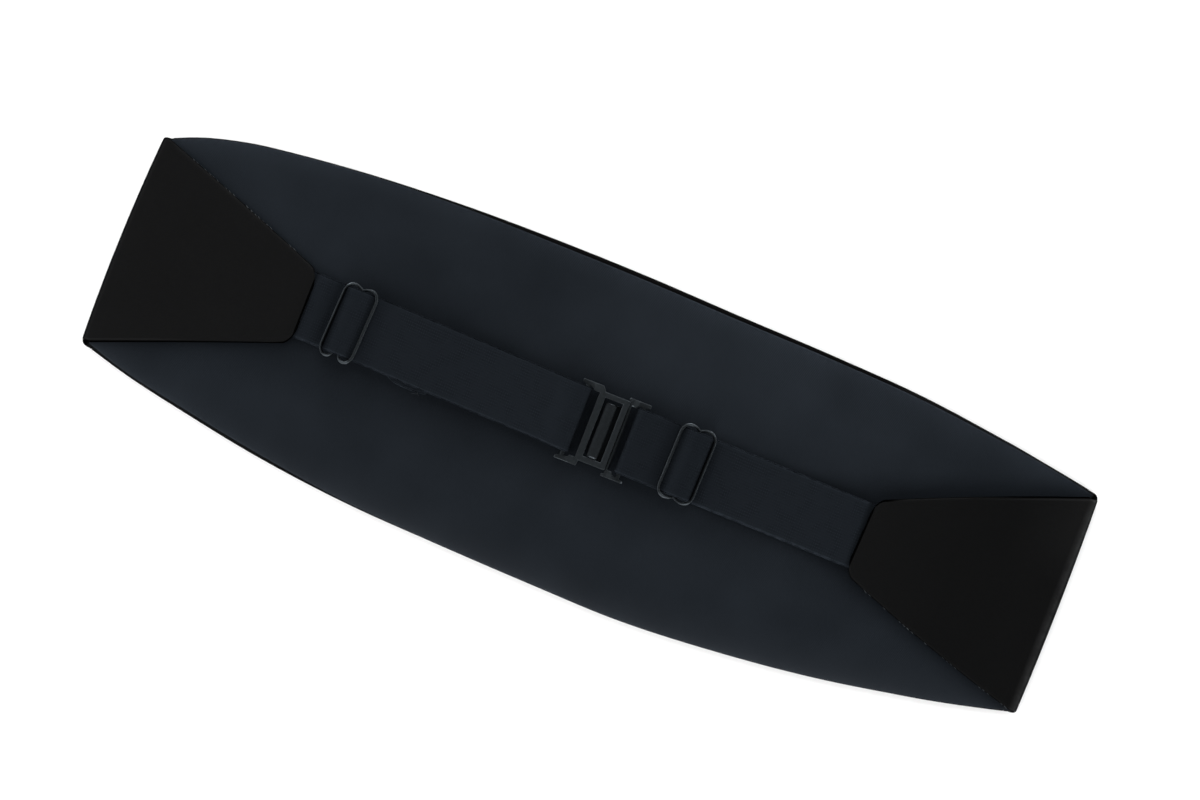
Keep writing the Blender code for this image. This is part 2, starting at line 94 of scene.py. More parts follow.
# The pleats: where each ends, as a share of the width from the lower edge to the upper one.
PLEAT_ENDS = (0.205, 0.405, 0.600, 0.795, 1.0)
PLEAT_DEPTH = 8.2 * MM
PLEAT_STEP = 0.45 * MM
PLEAT_ROUND = 0.23 * MM
# Across a pleat from its foot: how far, as a share of its width, and how high above the floor's layer.
PLEAT_SLOPE = ((0.05, 0.88), (0.10, 0.74), (0.16, 0.55), (0.23, 0.32), (0.30, 0.13), (0.38, 0.02))
HEM = 8 * MM

# The folded ends.
Tab = namedtuple(
    "Tab",
    "fold_top fold_middle fold_bottom start_top start_bottom tip_top tip_bottom tip_top_y tip_bottom_y"
    " bow_top bow_bottom round_top round_bottom",
)
TAB_ROWS = in_metres(
    Tab,
    (-202.2, -204.0, -203.4, 47.8, -39.9, -123.9, -123.9, 19.7, -10.8, 0.3, -0.2, 0.8, 1.5),
    (203.1, 204.0, 203.4, 48.4, -43.2, 119.3, 118.3, 15.7, -15.7, 0.9, 1.2, 1.5, 0.8),
)
TABS = dict(zip(SIDES, TAB_ROWS))
TAB_CORNER_ALONG = 3.8 * MM
TAB_CORNER_ACROSS = 6.6 * MM
TAB_FLOOR = 0.7 * MM
TAB_MIDDLE = 4.3 * MM
TAB_THICK = 1.0 * MM
TAB_MOUTH = 1.5 * MM
TAB_MOUTH_MIDDLE = 4.5 * MM
# How far each long edge stands up from the lining at its middle. The other edges are sewn down.
TAB_LIFT = {"left": (0.0, 0.7 * MM), "right": (1.8 * MM, 0.0)}
SEWN_ON_TOP = {side: lift[0] == 0.0 for side, lift in TAB_LIFT.items()}
SEWN_SINK = 0.4 * MM
# How far the fold's upper shoulder sinks.
SHOULDER_DROP = {"left": 0.25 * MM, "right": 0.75 * MM}
SHOULDER_REACH = 6.0 * MM
ROUND_FOLD = 10 * MM
# The runs of small stitches along each sewn edge, as shares of the way from the fold to the tip.
STITCH_RUNS = {
    "left": ((0.10, 0.32), (0.37, 0.44), (0.51, 0.68), (0.80, 0.84)),
    "right": (
        (0.02, 0.20), (0.25, 0.27), (0.32, 0.41), (0.50, 0.52), (0.58, 0.66), (0.75, 0.77), (0.84, 0.87)
    ),
}

# The wire slides, and the buckle's bars.
Place = namedtuple("Place", "x y")
SLIDES = dict(zip(SIDES, in_metres(Place, (-105.0, 5.1), (42.82, 1.7))))
SLIDE_LEAN = {"left": math.radians(2.35), "right": math.radians(1.1)}
WIRE = 0.6 * MM
BAR_WIRE = 0.56 * MM
SLIDE_HALF_WIDTH = {"left": 7.15 * MM, "right": 7.48 * MM}
SLIDE_HALF_LENGTH = 15.55 * MM
LOBE_X = 4.0 * MM
SHOULDER = 11.2 * MM
NOTCH_END = 14.2 * MM
OPEN_NOTCH = 1.5 * MM
SLIDE_LOW = STRAP_LAYERS[0] + STRAP_WALL / 2 + 0.1 * MM + WIRE
SLIDE_HIGH = STRAP_LAYERS[2] + STRAP_WALL / 2 + 0.1 * MM + WIRE
SLIDE_MIDDLE = (SLIDE_LOW + SLIDE_HIGH) / 2
BUCKLE_WALL = 1.8 * MM
BUCKLE_MIDDLE = STRAP_LAYERS[0] + STRAP_WALL / 2 + GAP + BUCKLE_WALL / 2
BAR_X = {"left": -5.8 * MM, "right": 18.6 * MM}
BUCKLE_Y = {"left": 2.0 * MM, "right": 1.6 * MM}
CASTING_ROUND = 0.32 * MM
ARM_SLOPE = 0.25
ARM_SLOPE_BEGINS = 14.9 * MM
BAR_SINK = 0.8
TONGUE_WALL = 1.0 * MM
TONGUE_WIDTH = 23.5 * MM
TONGUE_CURL = 1.2 * MM
TONGUE_TURN_X = 5.3 * MM

# The straps' middle line from tab to buckle, on each side.
STRAP_AXES = {
    "left": in_metres(Place, (-124.0, 5.5), (-105.0, 5.3), (-96.0, 5.1), (-29.0, 3.3), (-3.0, 2.5)),
    "right": in_metres(Place, (16.0, 2.0), (67.0, 1.2), (118.5, 0.3)),
}
STRAP_FREE_END = {"left": 39.6 * MM, "right": 13.0 * MM}
STRAP_STRAY = {"left": -1.8 * MM, "right": 0.0}
STRAP_GATHER = 2.6 * MM
SLIDE_REACH = 8.0 * MM
STRAP_RIBS = 24
RIB_RELIEF = 0.05 * MM
IN_TAB = 9.0 * MM
FLOOR_RADIUS = 6.0

# Soft creases: the middle, the length and width, the turn from the garment's
# length in degrees, and the height, which is below zero for a trough.
Crease = namedtuple("Crease", "x y length width turn height")
LINING_CREASES = (
    Crease(-152, 44, 52, 7, 14, 0.14),
    Crease(-118, 38, 64, 9, -9, -0.20),
    Crease(-64, 50, 80, 8, 4, 0.12),
    Crease(-30, 30, 58, 10, -16, -0.18),
    Crease(28, 46, 92, 9, 7, 0.13),
    Crease(70, 27, 66, 10, -12, -0.16),
    Crease(118, 40, 58, 8, -21, 0.12),
    Crease(158, 36, 40, 7, -30, -0.18),
    Crease(-146, -36, 58, 8, -20, -0.17),
    Crease(-96, -30, 72, 10, 12, 0.12),
    Crease(-52, -48, 66, 8, -6, -0.16),
    Crease(-8, -30, 60, 10, 18, 0.13),
    Crease(44, -46, 84, 9, -5, -0.18),
    Crease(92, -30, 62, 9, 14, 0.12),
    Crease(134, -36, 54, 8, 28, -0.17),
)
TAB_CREASES = {
    "left": (
        Crease(-176, 18, 34, 6, 70, -0.14),
        Crease(-158, -12, 44, 7, 12, 0.12),
        Crease(-146, 12, 30, 6, -28, -0.12),
        Crease(-186, -18, 26, 5, 84, 0.12),
    ),
    "right": (
        Crease(176, 16, 36, 6, 98, -0.14),
        Crease(156, -10, 42, 7, -14, 0.12),
        Crease(140, 8, 28, 6, 24, -0.12),
        Crease(188, -20, 28, 5, 92, 0.12),
    ),
}

# Painted glints on the enamel, and one painted shade on the tongue's foot in the slot: a middle, a size along
# X and Y, and how much lighter it is painted, below zero for darker.
Spot = namedtuple("Spot", "x y wide tall bareness")
CAST_GLINTS = (
    Spot(14.0, 15.6, 0.6, 0.4, 5),
    Spot(16.8, 15.3, 0.5, 0.3, 4),
    Spot(20.9, -14.9, 0.4, 0.5, 3),
    Spot(-5, -15, 4, 0.3, 1),
)
WIRE_GLINTS = (
    Spot(-109.4, 20.0, 2.6, 1.4, 3.6),
    Spot(-101.2, 20.2, 2.4, 1.2, 0.8),
    Spot(-108.6, -10.5, 2.4, 1.2, 2.4),
    Spot(-101.2, -10.2, 3.0, 1.4, 2.6),
    Spot(39.2, 17.3, 3.0, 1.1, 1.8),
    Spot(47.8, 16.6, 2.6, 1.2, 2.6),
    Spot(38.6, -13.4, 3.2, 1.2, 2.4),
    Spot(47.8, -13.4, 3.2, 1.2, 2.8),
)
TONGUE_GLINTS_AND_SHADE = (Spot(6.4, -9.7, 2.2, 0.35, 7), Spot(5.8, 13.1, 1.6, 0.22, 2), Spot(9.4, 1.6, 1.6, 40, -0.5))

# The shade painted round each slide: how dark it is under the wire on the folded end's side, where
# that begins in millimetres from the slide's middle, and how dark it is outside the other wire.
Shadow = namedtuple("Shadow", "dark begins right")
SLIDE_SHADOWS = {"left": Shadow(0.30, 3.6, 0.86), "right": Shadow(0.72, 5.7, 1.0)}


def blend(low, high, share):
    return low + (high - low) * share


def smooth(share):
    share = min(max(share, 0.0), 1.0)
    return share * share * (3 - 2 * share)


def curve(low, leave, high, arrive, share):
    """A curve from low to high that leaves and arrives at the given slopes."""
    return (
        low * (2 * share**3 - 3 * share**2 + 1)
        + leave * (share**3 - 2 * share**2 + share)
        + high * (3 * share**2 - 2 * share**3)
        + arrive * (share**3 - share**2)
    )


def stations(low, high, count):
    return [blend(low, high, i / (count - 1)) for i in range(count)]


def waver(distance, pitch, size, seed):
    """A smooth unevenness along a line, with its bumps about a pitch apart."""
    return size * noise.noise(Vector((distance / pitch, seed * 3.7, seed * 1.3)))


def crease_height(creases, x, y):
    """The height of a table of creases at one place."""
    total = 0.0
    for crease in creases:
        angle = math.radians(crease.turn)
        away_x, away_y = x / MM - crease.x, y / MM - crease.y
        along = (away_x * math.cos(angle) + away_y * math.sin(angle)) / (crease.length / 2)
        across = (away_y * math.cos(angle) - away_x * math.sin(angle)) / crease.width
        if abs(along) < 1.0:
            total += crease.height * (1 - along * along) ** 2 * math.exp(-across * across)
    return total * MM


def ease(start, end, steps):
    """(x, z) points from start to end that leave and arrive level."""
    shares = [i / steps for i in range(steps + 1)]
    return [(blend(start[0], end[0], s), blend(start[1], end[1], smooth(s))) for s in shares]


def turn(x, z, radius, side, steps):
    """(x, z) points of a half turn from the top of a bar to its foot, round its side towards `side`."""
    angles = [math.pi / 2 - math.pi * step / steps for step in range(steps + 1)]
    return [(x + side * radius * math.cos(a), z + radius * math.sin(a)) for a in angles]


def read_table(rows, x):
    """The row at x, on a smooth curve through the table's rows."""
    x = min(max(x, rows[0].x), rows[-1].x)
    index = next(i for i in range(len(rows) - 1) if x <= rows[i + 1].x)
    around = [rows[max(index - 1, 0)], rows[index], rows[index + 1], rows[min(index + 2, len(rows) - 1)]]
    span = around[2].x - around[1].x
    share = (x - around[1].x) / span
    values = []
    for before, low, high, after in zip(*around):
        leave = (high - before) / (around[2].x - around[0].x) * span
        arrive = (after - low) / (around[3].x - around[1].x) * span
        values.append(curve(low, leave, high, arrive, share))
    return type(rows[0])(*values)


def measure(points):
    """How far along its line each point lies."""
    reached = [0.0]
    for here, there in zip(points, points[1:]):
        reached.append(reached[-1] + math.dist(here, there))
    return reached


def even_steps(reached, count):
    """For each of count + 1 even steps along a measured line: the point before it, and its share on."""
    steps, i = [], 0
    for k in range(count + 1):
        target = reached[-1] * k / count
        while i < len(reached) - 2 and reached[i + 1] < target:
            i += 1
        share = (target - reached[i]) / max(reached[i + 1] - reached[i], 1e-12)
        steps.append((i, min(share, 1.0)))
    return steps


def resample(points, step):
    """A line through the points, evenly stepped, rounded where it bends."""
    points = [Vector(point) for point in points]
    points = [p for p, before in zip(points, [None, *points]) if before is None or (p - before).length > 1e-7]
    spans = [(there - here).length for here, there in zip(points, points[1:])]
    slopes = [(there - here) / span for here, there, span in zip(points, points[1:], spans)]
    ways = [slopes[0]]
    for i in range(1, len(points) - 1):
        ways.append((slopes[i - 1] * spans[i] + slopes[i] * spans[i - 1]) / (spans[i - 1] + spans[i]))
    ways.append(slopes[-1])
    dense = []
    for i, span in enumerate(spans):
        for k in range(10):
            dense.append(curve(points[i], ways[i] * span, points[i + 1], ways[i + 1] * span, k / 10))
    dense.append(points[-1])
    reached = measure(dense)
    count = max(round(reached[-1] / step), 2)
    return [dense[i].lerp(dense[i + 1], share) for i, share in even_steps(reached, count)]


def resample_loop(points, step):
    """A closed line through the points, evenly stepped, that keeps the notches sharp."""
    loop = points + [points[0]]
    reached = measure(loop)
    steps = even_steps(reached, round(reached[-1] / step))[:-1]
    return [loop[i].lerp(loop[i + 1], share) for i, share in steps]


# ---- Materials ----


class Value:
    """A number, colour or vector that a node tree works out. It adds and multiplies like a number."""

    def __init__(self, tree, socket):
        self.tree, self.socket = tree, socket

    def math(self, operation, *others):
        return node(self.tree, "Math", dict(enumerate((self, *others))), operation=operation)

    def __add__(self, other):
        return self.math("ADD", other)

    def __sub__(self, other):
        return self.math("SUBTRACT", other)

    def __mul__(self, other):
        return self.math("MULTIPLY", other)

    def __abs__(self):
        return self.math("ABSOLUTE")

    def most(self, other):
        return self.math("MAXIMUM", other)

    def ramp(self, low, high, to_low, to_high, **settings):
        """From to_low where this is low to to_high where it is high, and level beyond them."""
        ends = {"From Min": low, "From Max": high, "To Min": to_low, "To Max": to_high}
        return node(self.tree, "MapRange", {"Value": self, **ends}, **settings)

    def split(self):
        """The X, Y and Z of a vector."""
        parts = node(self.tree, "SeparateXYZ", {"Vector": self}).socket.node.outputs
        return [Value(self.tree, part) for part in parts]


def plug(tree, socket, value):
    """Sets a socket to a plain value, or links it to one that the tree works out."""
    if isinstance(value, Value):
        tree.links.new(value.socket, socket)
    else:
        socket.default_value = value


def node(tree, kind, inputs=None, output=0, **settings):
    """One output of a new shader node, with its inputs and settings."""
    made = tree.nodes.new("ShaderNode" + kind)
    for key, value in settings.items():
        setattr(made, key, value)
    for key, value in (inputs or {}).items():
        plug(tree, made.inputs[key], value)
    return Value(tree, made.outputs[output])


class Paint:
    """A Principled material, and the nodes that its looks start from."""

    def __init__(self, name, roughness, metallic=0.0, tint=(1.0, 1.0, 1.0), specular=0.0):
        self.made = bpy.data.materials.new(name)
        self.made.use_nodes = True
        self.give("Roughness", roughness)
        self.give("Metallic", metallic)
        self.give("Specular Tint", (*tint, 1.0))
        self.give("Specular IOR Level", specular)

    def give(self, key, value):
        tree = self.made.node_tree
        plug(tree, tree.nodes["Principled BSDF"].inputs[key], value)

    def node(self, *given, **settings):
        return node(self.made.node_tree, *given, **settings)

    def on_cloth(self, along=1.0, across=1.0, turned=0.0):
        """Where a point lies on its cloth in millimetres, stretched, and turned by degrees."""
        place, scale = self.node("UVMap", uv_map="cloth"), (along / MM, across / MM, 1.0)
        rotation = (0.0, 0.0, math.radians(turned))
        return self.node("Mapping", {"Vector": place, "Scale": scale, "Rotation": rotation})

    def in_object(self):
        """The object's own place, in millimetres."""
        place = self.node("TexCoord", output="Object")
        return self.node("Mapping", {"Vector": place, "Scale": (1 / MM, 1 / MM, 1 / MM)})

    def upward(self):
        """How far the surface faces up."""
        return self.node("NewGeometry", output="Normal").split()[2]

    def from_edge(self):
        """How far a point is from its cloth's edge, in metres."""
        return self.node("Attribute", output="Fac", attribute_name="edge")

    def near_edge(self, reach):
        """1 at a cloth's edge, and 0 from `reach` millimetres inside it."""
        return self.from_edge().ramp(0.0, reach * MM, 1.0, 0.0)

    def grain(self, place, scale, detail=2.0, rough=0.5):
        inputs = {"Vector": place, "Scale": scale, "Detail": detail, "Roughness": rough}
        return self.node("TexNoise", inputs)

    def bands(self, place, pitch, direction="X", distortion=0.0):
        """Soft bands a pitch apart, in the units of place."""
        inputs = {"Vector": place, "Scale": 2 * math.pi / (20 * pitch), "Distortion": distortion}
        return self.node("TexWave", inputs, "Fac", bands_direction=direction)

    def shade(self, colour, value):
        """A colour made darker or lighter by a value round 1."""
        inputs = {"Fac": 1.0, "Color1": (*colour, 1.0), "Color2": value}
        return self.node("MixRGB", inputs, blend_type="MULTIPLY")

    def emboss(self, *layers):
        """Bumps on top of one another: what raises each, its depth in millimetres and its strength."""
        under = {}
        for height, depth, strength in layers:
            inputs = {"Height": height, "Distance": depth * MM, "Strength": strength}
            under = {"Normal": self.node("Bump", inputs | under)}
        self.give("Normal", under["Normal"])


def make_satin():
    """Dull black satin: fine threads that shine a little at every angle, with painted shadow darkest in its
    seams and a painted sheen and highlight.
    """
    paint = Paint("black_satin", 0.42, 0.3, tint=(0.0, 0.0, 0.0))
    place = paint.in_object()
    x, y, _ = place.split()
    from_middle, away = abs(x), paint.from_edge()
    streaks = paint.grain(paint.on_cloth(0.3, 5.0), 1.0, 3.0, 0.6)
    weave = paint.bands(paint.on_cloth(turned=26), 0.45, distortion=0.6)
    soft = paint.grain(place, 0.045)
    flecks = paint.grain(place, 0.25, 3.0, 0.6)

    # Painted sheen: lighter to the left, and darker on the right folded end. A painted highlight runs along
    # the right fold and widens at its upper corner.
    painted_sheen = x.ramp(-160, 110, 1.13, 1.05) + x.ramp(118, 160, 0.0, -0.17)
    fold_highlight = x.ramp(199.6, 202.1, 0.0, 2.0) * x.ramp(202.6, 203.3, 1.0, 0.3)
    fold_highlight *= flecks.ramp(0.35, 0.65, 0.6, 1.2)
    corner = x.ramp(176, 197, 0.0, 0.35) * y.ramp(10, 28, 0.0, 1.0)
    tone = streaks.ramp(0.3, 0.7, 0.90, 1.10) * (painted_sheen + (fold_highlight + corner))
    # Painted shadow darkens the seams: widest round a folded end's tip, and hardly there beside the right
    # one.
    tip = from_middle.ramp(124.5, 131, 1.0, 0.0)
    long_edge = x.ramp(150, 176, 0.0, 1.0) + x.ramp(-60, 0, 1.0, 0.0)
    inward = away + tip * (-0.4 * MM)
    seam = tip.most(long_edge) * inward.ramp(0.2 * MM, 0.45 * MM, -0.9, 0.0)
    tone = tone * (seam + 1.0)
    # Inside the seam a painted highlight gives the folded ends a pale lip, near the folds alone.
    lip = away.ramp(0.4 * MM, 0.6 * MM, 0.0, 1.0) * away.ramp(0.8 * MM, 1.2 * MM, 1.0, 0.0)
    tone *= lip * from_middle.ramp(158, 176, 0.0, 0.6) + 1.0
    # Painted shade makes it darker at a slant, and it is darker on the front's own rim between the folded
    # ends.
    tone *= abs(paint.upward()).ramp(0.5, 0.97, 0.25, 1.0)
    tone *= from_middle.ramp(110, 116, 0.55, 1.0)

    paint.give("Base Color", paint.shade((0.0051, 0.0052, 0.0053), tone))
    paint.give("Roughness", soft.ramp(0.3, 0.7, 0.38, 0.46) + streaks * 0.05)
    paint.emboss((soft, 0.5, 0.5), (weave, 0.02, 0.6), (streaks, 0.03, 0.6))
    return paint.made


def make_lining_cloth():
    """Navy lining in a fine twill, with painted soft shade and a painted paler, greyer edge."""
    paint = Paint("navy_lining", 0.72)
    place = paint.in_object()
    x, y, _ = place.split()
    twill = paint.bands(paint.on_cloth(turned=-52), 0.62, distortion=0.4)
    threads = paint.grain(paint.on_cloth(0.9, 3.2), 1.0, 3.0, 0.6)
    soft = paint.grain(place, 0.03)

    woven = threads.ramp(0.3, 0.7, 0.94, 1.06) + twill.ramp(0.0, 1.0, -0.04, 0.04)
    tone = soft.ramp(0.3, 0.7, 0.89, 1.10) * woven
    # Painted light makes it paler towards its edges, where they roll down; random specks lie near the edges.
    broad = paint.near_edge(11)
    edge_light = broad * broad * 0.26 + paint.near_edge(2.5) * y.ramp(-20, 20, 0.16, 0.0)
    specks = paint.grain(paint.on_cloth(), 0.55, 3.0, 0.7).ramp(0.35, 0.65, -0.22, 0.22)
    tone += edge_light + specks * paint.near_edge(3)
    # It is shaded where the straps lie close over it, and along the right folded end.
    from_strap = abs(y - 2.5)
    depth = y.ramp(-10, 16, 0.21, x.ramp(-90, -65, 0.04, 0.17))
    by_strap = depth * from_strap.ramp(14, 36, 1.0, 0.0)
    by_end = (x * -0.34 + from_strap * 0.94).ramp(-24.7, -15.7, 0.28, 0.0)
    tone *= (by_strap + by_end) * -1.0 + 1.0
    # Painted shade and light, as of a soft swell: its upper half is lighter from the middle to the right and
    # darker to the left, and its lower half is a little darker.
    swell = x.ramp(-40, 30, 0.88, 1.14) * x.ramp(70, 140, 1.0, 0.86) * x.ramp(-130, -100, 1.13, 1.0)
    tone *= y.ramp(-10, 20, 0.94, swell)
    # Along its lower edge a painted sheen makes it paler and greyer, in patches right at the edge.
    outer = paint.near_edge(20)
    patchy_sheen = paint.grain(paint.on_cloth(), 0.9, 2.0, 0.6).ramp(0.48, 0.66, 0.0, 0.006)
    grey = outer * outer * 0.0026 + paint.near_edge(4) * 0.0022 + paint.near_edge(1.4) * patchy_sheen
    grey *= x.ramp(-130, -60, 0.3, 1.0) * x.ramp(140, 185, 1.0, 0.4)
    grey *= y.ramp(-36, -26, 1.0, 0.0)

    navy = paint.shade((0.0090, 0.0110, 0.0138), tone)
    paint.give("Base Color", paint.node("VectorMath", {0: navy, 1: grey}, operation="ADD"))
    paint.give("Roughness", threads.ramp(0.3, 0.7, 0.68, 0.78))
    paint.emboss((soft, 0.6, 0.4), (twill, 0.03, 0.7), (threads, 0.03, 0.5))
    return paint.made


def make_elastic():
    """Ribbed elastic with small knit dots, with a painted highlight along its edges and painted shade where
    it climbs and by the metal.
    """
    paint = Paint("woven_elastic", 0.8)
    place = paint.on_cloth()
    up = place.split()[1]
    x, _, z = paint.in_object().split()
    ribs = paint.bands(place, STRAP_WIDTH / MM / STRAP_RIBS, "Y")
    dots = paint.bands(place, 0.95, distortion=0.3) * ribs
    patches = paint.grain(place, 0.16).ramp(0.46, 0.60, 0.15, 1.0)
    fuzz = paint.grain(place, 2.6, 3.0, 0.65)

    tone = fuzz.ramp(0.3, 0.7, 0.92, 1.08) + dots.ramp(0.0, 1.0, -0.18, 0.34) * patches
    # Painted shade where the threads climb, and where they bend over the metal; a little darker towards the
    # right too.
    level = paint.upward().ramp(0.25, 0.97, x.ramp(-20, 20, 0.3, 0.55), 1.0)
    tone *= level * level
    tone *= z.ramp(4.5, 9.0, 1.06, 0.86) * x.ramp(-120, 120, 1.03, 0.93)
    # Painted highlight along its edges: stronger on the lower edge, and strongest where it lies lowest.
    painted_light = paint.from_edge().ramp(0.5 * MM, 1.4 * MM, 1.0, 0.0) * up.ramp(-6, 6, 0.75, 0.28)
    painted_light *= paint.grain(place, 0.3).ramp(0.38, 0.6, 0.4, 1.0)
    tone += painted_light * z.ramp(4.7, 5.3, 1.6, 1.0)
    # The shade beside the slides' wires, and at the mouths of the folded ends.
    for side, shadow in SLIDE_SHADOWS.items():
        offset = x - SLIDES[side].x / MM
        aside, tabward = abs(offset), offset * AWAY[side]
        beside = offset.ramp(-1, 1, 0.72, shadow.right)
        tone *= aside.ramp(6.4, 7.2, 1.0, beside).most(aside.ramp(7.8, 14.5, beside, 1.0))
        under = tabward.ramp(shadow.begins, 6.5, 1.0, shadow.dark)
        tone *= under.most(tabward.ramp(7.0, 7.4, shadow.dark, 1.0))
    tone *= x.ramp(116.4, 118.4, 1.0, 0.5) * x.ramp(-124.0, -122.8, 0.5, 1.0)

    paint.give("Base Color", paint.shade((0.0069, 0.0085, 0.0107), tone))
    paint.emboss((dots * patches, 0.10, 0.6), (fuzz, 0.05, 0.6))
    return paint.made


def make_enamel(name, tone, metallic, rough, painted_light):
    """Black enamel on metal, that shines where it faces a light and stays dark at a slant."""
    paint = Paint(name, rough, metallic, tint=(0.35, 0.38, 0.40))
    place = paint.in_object()
    mottle = paint.grain(place, 0.9, 3.0, 0.6)
    fine = paint.grain(place, 6.0, 2.0, 0.6)
    level = mottle.ramp(0.3, 0.7, 0.88, 1.12)
    ragged = fine.ramp(0.3, 0.7, -0.3, 0.3)
    # Painted glints, and a painted shade, at the listed spots.
    for spot in painted_light:
        middle = (-spot.x / spot.wide, -spot.y / spot.tall, 0)
        inputs = {"Vector": place, "Location": middle, "Scale": (1 / spot.wide, 1 / spot.tall, 0)}
        away = paint.node("VectorMath", {0: paint.node("Mapping", inputs)}, "Value", operation="LENGTH")
        level += (away + ragged).ramp(0.35, 1.0, spot.bareness, 0.0)
    paint.give("Base Color", paint.shade((0.85 * tone, 0.99 * tone, 1.10 * tone), level))
    paint.give("Roughness", mottle.ramp(0.3, 0.7, rough - 0.05, rough + 0.05))
    paint.emboss((fine, 0.03, 0.4))
    return paint.made


def make_thread(name, colour):
    paint = Paint(name, 0.7)
    twist = paint.grain(paint.in_object(), 4.0)
    paint.give("Base Color", paint.shade(colour, twist.ramp(0.3, 0.7, 0.8, 1.2)))
    paint.emboss((twist, 0.03, 0.6))
    return paint.made


def make_floor_paint():
    paint = Paint("white_floor", 0.9, specular=0.1)
    paint.give("Base Color", (0.9, 0.9, 0.9, 1.0))
    return paint.made


# ---- Mesh builders ----


def add(name, data, place=(0, 0, 0)):
    """A new object in the scene."""
    made = bpy.data.objects.new(name, data)
    made.location = place
    bpy.context.scene.collection.objects.link(made)
    return made


def add_shape(mesh, shape, finish):
    """An object from a bmesh, with its faces turned out and smooth."""
    bmesh.ops.recalc_face_normals(shape, faces=shape.faces)
    shape.to_mesh(mesh)
    shape.free()
    mesh.materials.append(finish)
    mesh.shade_smooth()
    return add(mesh.name, mesh)


def add_mesh(name, points, faces, finish, places=None, edges=None):
    """An object from points and faces, with its cloth coordinates and its distance from an edge."""
    mesh = bpy.data.meshes.new(name)
    mesh.from_pydata(points, [], faces)
    shape = bmesh.new()
    shape.from_mesh(mesh)
    made = add_shape(mesh, shape, finish)
    if places:
        layer = mesh.uv_layers.new(name="cloth")
        for loop in mesh.loops:
            layer.data[loop.index].uv = places[loop.vertex_index]
        mesh.attributes.new("edge", "FLOAT", "POINT").data.foreach_set("value", edges)
    return made


def cloth(name, grid, wall, finish, around=False, edge=None):
    """A thin closed shell on a grid of middle points, with rounded rims.

    `wall` is its thickness, or gives it at a column. With `around`, each row is a closed loop.
    `edge` gives how far a grid point is from the cloth's edge, where that isn't the grid's rim.
    """
    rows, columns = len(grid), len(grid[0])
    thickness = wall if callable(wall) else lambda c: wall

    def at(r, c):
        r = min(max(r, 0), rows - 1)
        return grid[r][c % columns if around else min(max(c, 0), columns - 1)]

    along = [0.0]
    for r in range(1, rows):
        along.append(along[-1] + (at(r, columns // 4) - at(r - 1, columns // 4)).length)
    points, places, edges, upper, lower, rims = [], [], [], [], [], {}

    def add_point(point, place, away):
        points.append(point)
        places.append(place)
        edges.append(away)
        return len(points) - 1

    for r in range(rows):
        upper.append([])
        lower.append([])
        across = [0.0]
        for c in range(1, columns):
            across.append(across[-1] + (at(r, c) - at(r, c - 1)).length)
        for c in range(columns):
            point = at(r, c)
            ahead = (at(r + 1, c) - at(r - 1, c)).normalized()
            aside = (at(r, c + 1) - at(r, c - 1)).normalized()
            normal = ahead.cross(aside).normalized()
            outward = ahead * ((r == rows - 1) - (r == 0))
            if not around:
                outward += aside * ((c == columns - 1) - (c == 0))
            half = thickness(c) / 2
            place = (along[r], across[c] - across[-1] / 2)
            away = edge(r, c) if edge else min(across[c], across[-1] - across[c])
            inset = point - outward * half
            upper[r].append(add_point(inset + normal * half, place, away))
            lower[r].append(add_point(inset - normal * half, place, away))
            if outward.length > 0:
                rims[r, c] = [
                    add_point(point - outward * half * 0.3 + normal * half * 0.7, place, 0.0),
                    add_point(point, place, 0.0),
                    add_point(point - outward * half * 0.3 - normal * half * 0.7, place, 0.0),
                ]
    faces = []
    for r in range(rows - 1):
        for c in range(columns if around else columns - 1):
            d = (c + 1) % columns
            for side in (upper, lower):
                faces.append((side[r][c], side[r + 1][c], side[r + 1][d], side[r][d]))
    if around:
        borders = [[(r, c) for c in range(columns)] for r in (0, rows - 1)]
    else:
        border = [(r, 0) for r in range(rows - 1)]
        border += [(rows - 1, c) for c in range(columns - 1)]
        border += [(r, columns - 1) for r in range(rows - 1, 0, -1)]
        borders = [border + [(0, c) for c in range(columns - 1, 0, -1)]]
    for border in borders:
        walls = [[upper[r][c], *rims[r, c], lower[r][c]] for r, c in border]
        for one, other in zip(walls, walls[1:] + walls[:1]):
            for a in range(4):
                faces.append((one[a], other[a], other[a + 1], one[a + 1]))
    return add_mesh(name, points, faces, finish, places, edges)


def tube(centres, radius, sides, closed=False, end_share=1.0):
    """(points, faces) of a round wire or thread along its centres, with its ends narrowed to a share."""
    points, faces, count = [], [], len(centres)
    for i, centre in enumerate(centres):
        before = centres[i - 1 if closed else max(i - 1, 0)]
        after = centres[(i + 1) % count if closed else min(i + 1, count - 1)]
        ahead = (after - before).normalized()
        aside = ahead.cross(Vector((0, 0, 1))).normalized()
        upward = aside.cross(ahead)
        thick = radius * (end_share if i in (0, count - 1) else 1.0)
        for k in range(sides):
            angle = 2 * math.pi * k / sides
            points.append(centre + (aside * math.cos(angle) + upward * math.sin(angle)) * thick)
    for i in range(count if closed else count - 1):
        one, other = i * sides, (i + 1) % count * sides
        for k in range(sides):
            m = (k + 1) % sides
            faces.append((one + k, one + m, other + m, other + k))
    if not closed:
        faces += [tuple(reversed(range(sides))), tuple(range(len(points) - sides, len(points)))]
    return points, faces


def join(parts):
    """Several (points, faces) as one."""
    points, faces = [], []
    for its_points, its_faces in parts:
        faces += [tuple(i + len(points) for i in face) for face in its_faces]
        points += its_points
    return points, faces


def add_threads(name, runs, radius, finish):
    """Short round threads through lists of points, with tapered ends, as one mesh."""
    return add_mesh(name, *join(tube(run, radius, 6, end_share=0.45) for run in runs), finish)


# ---- The pleated front and the lining ----


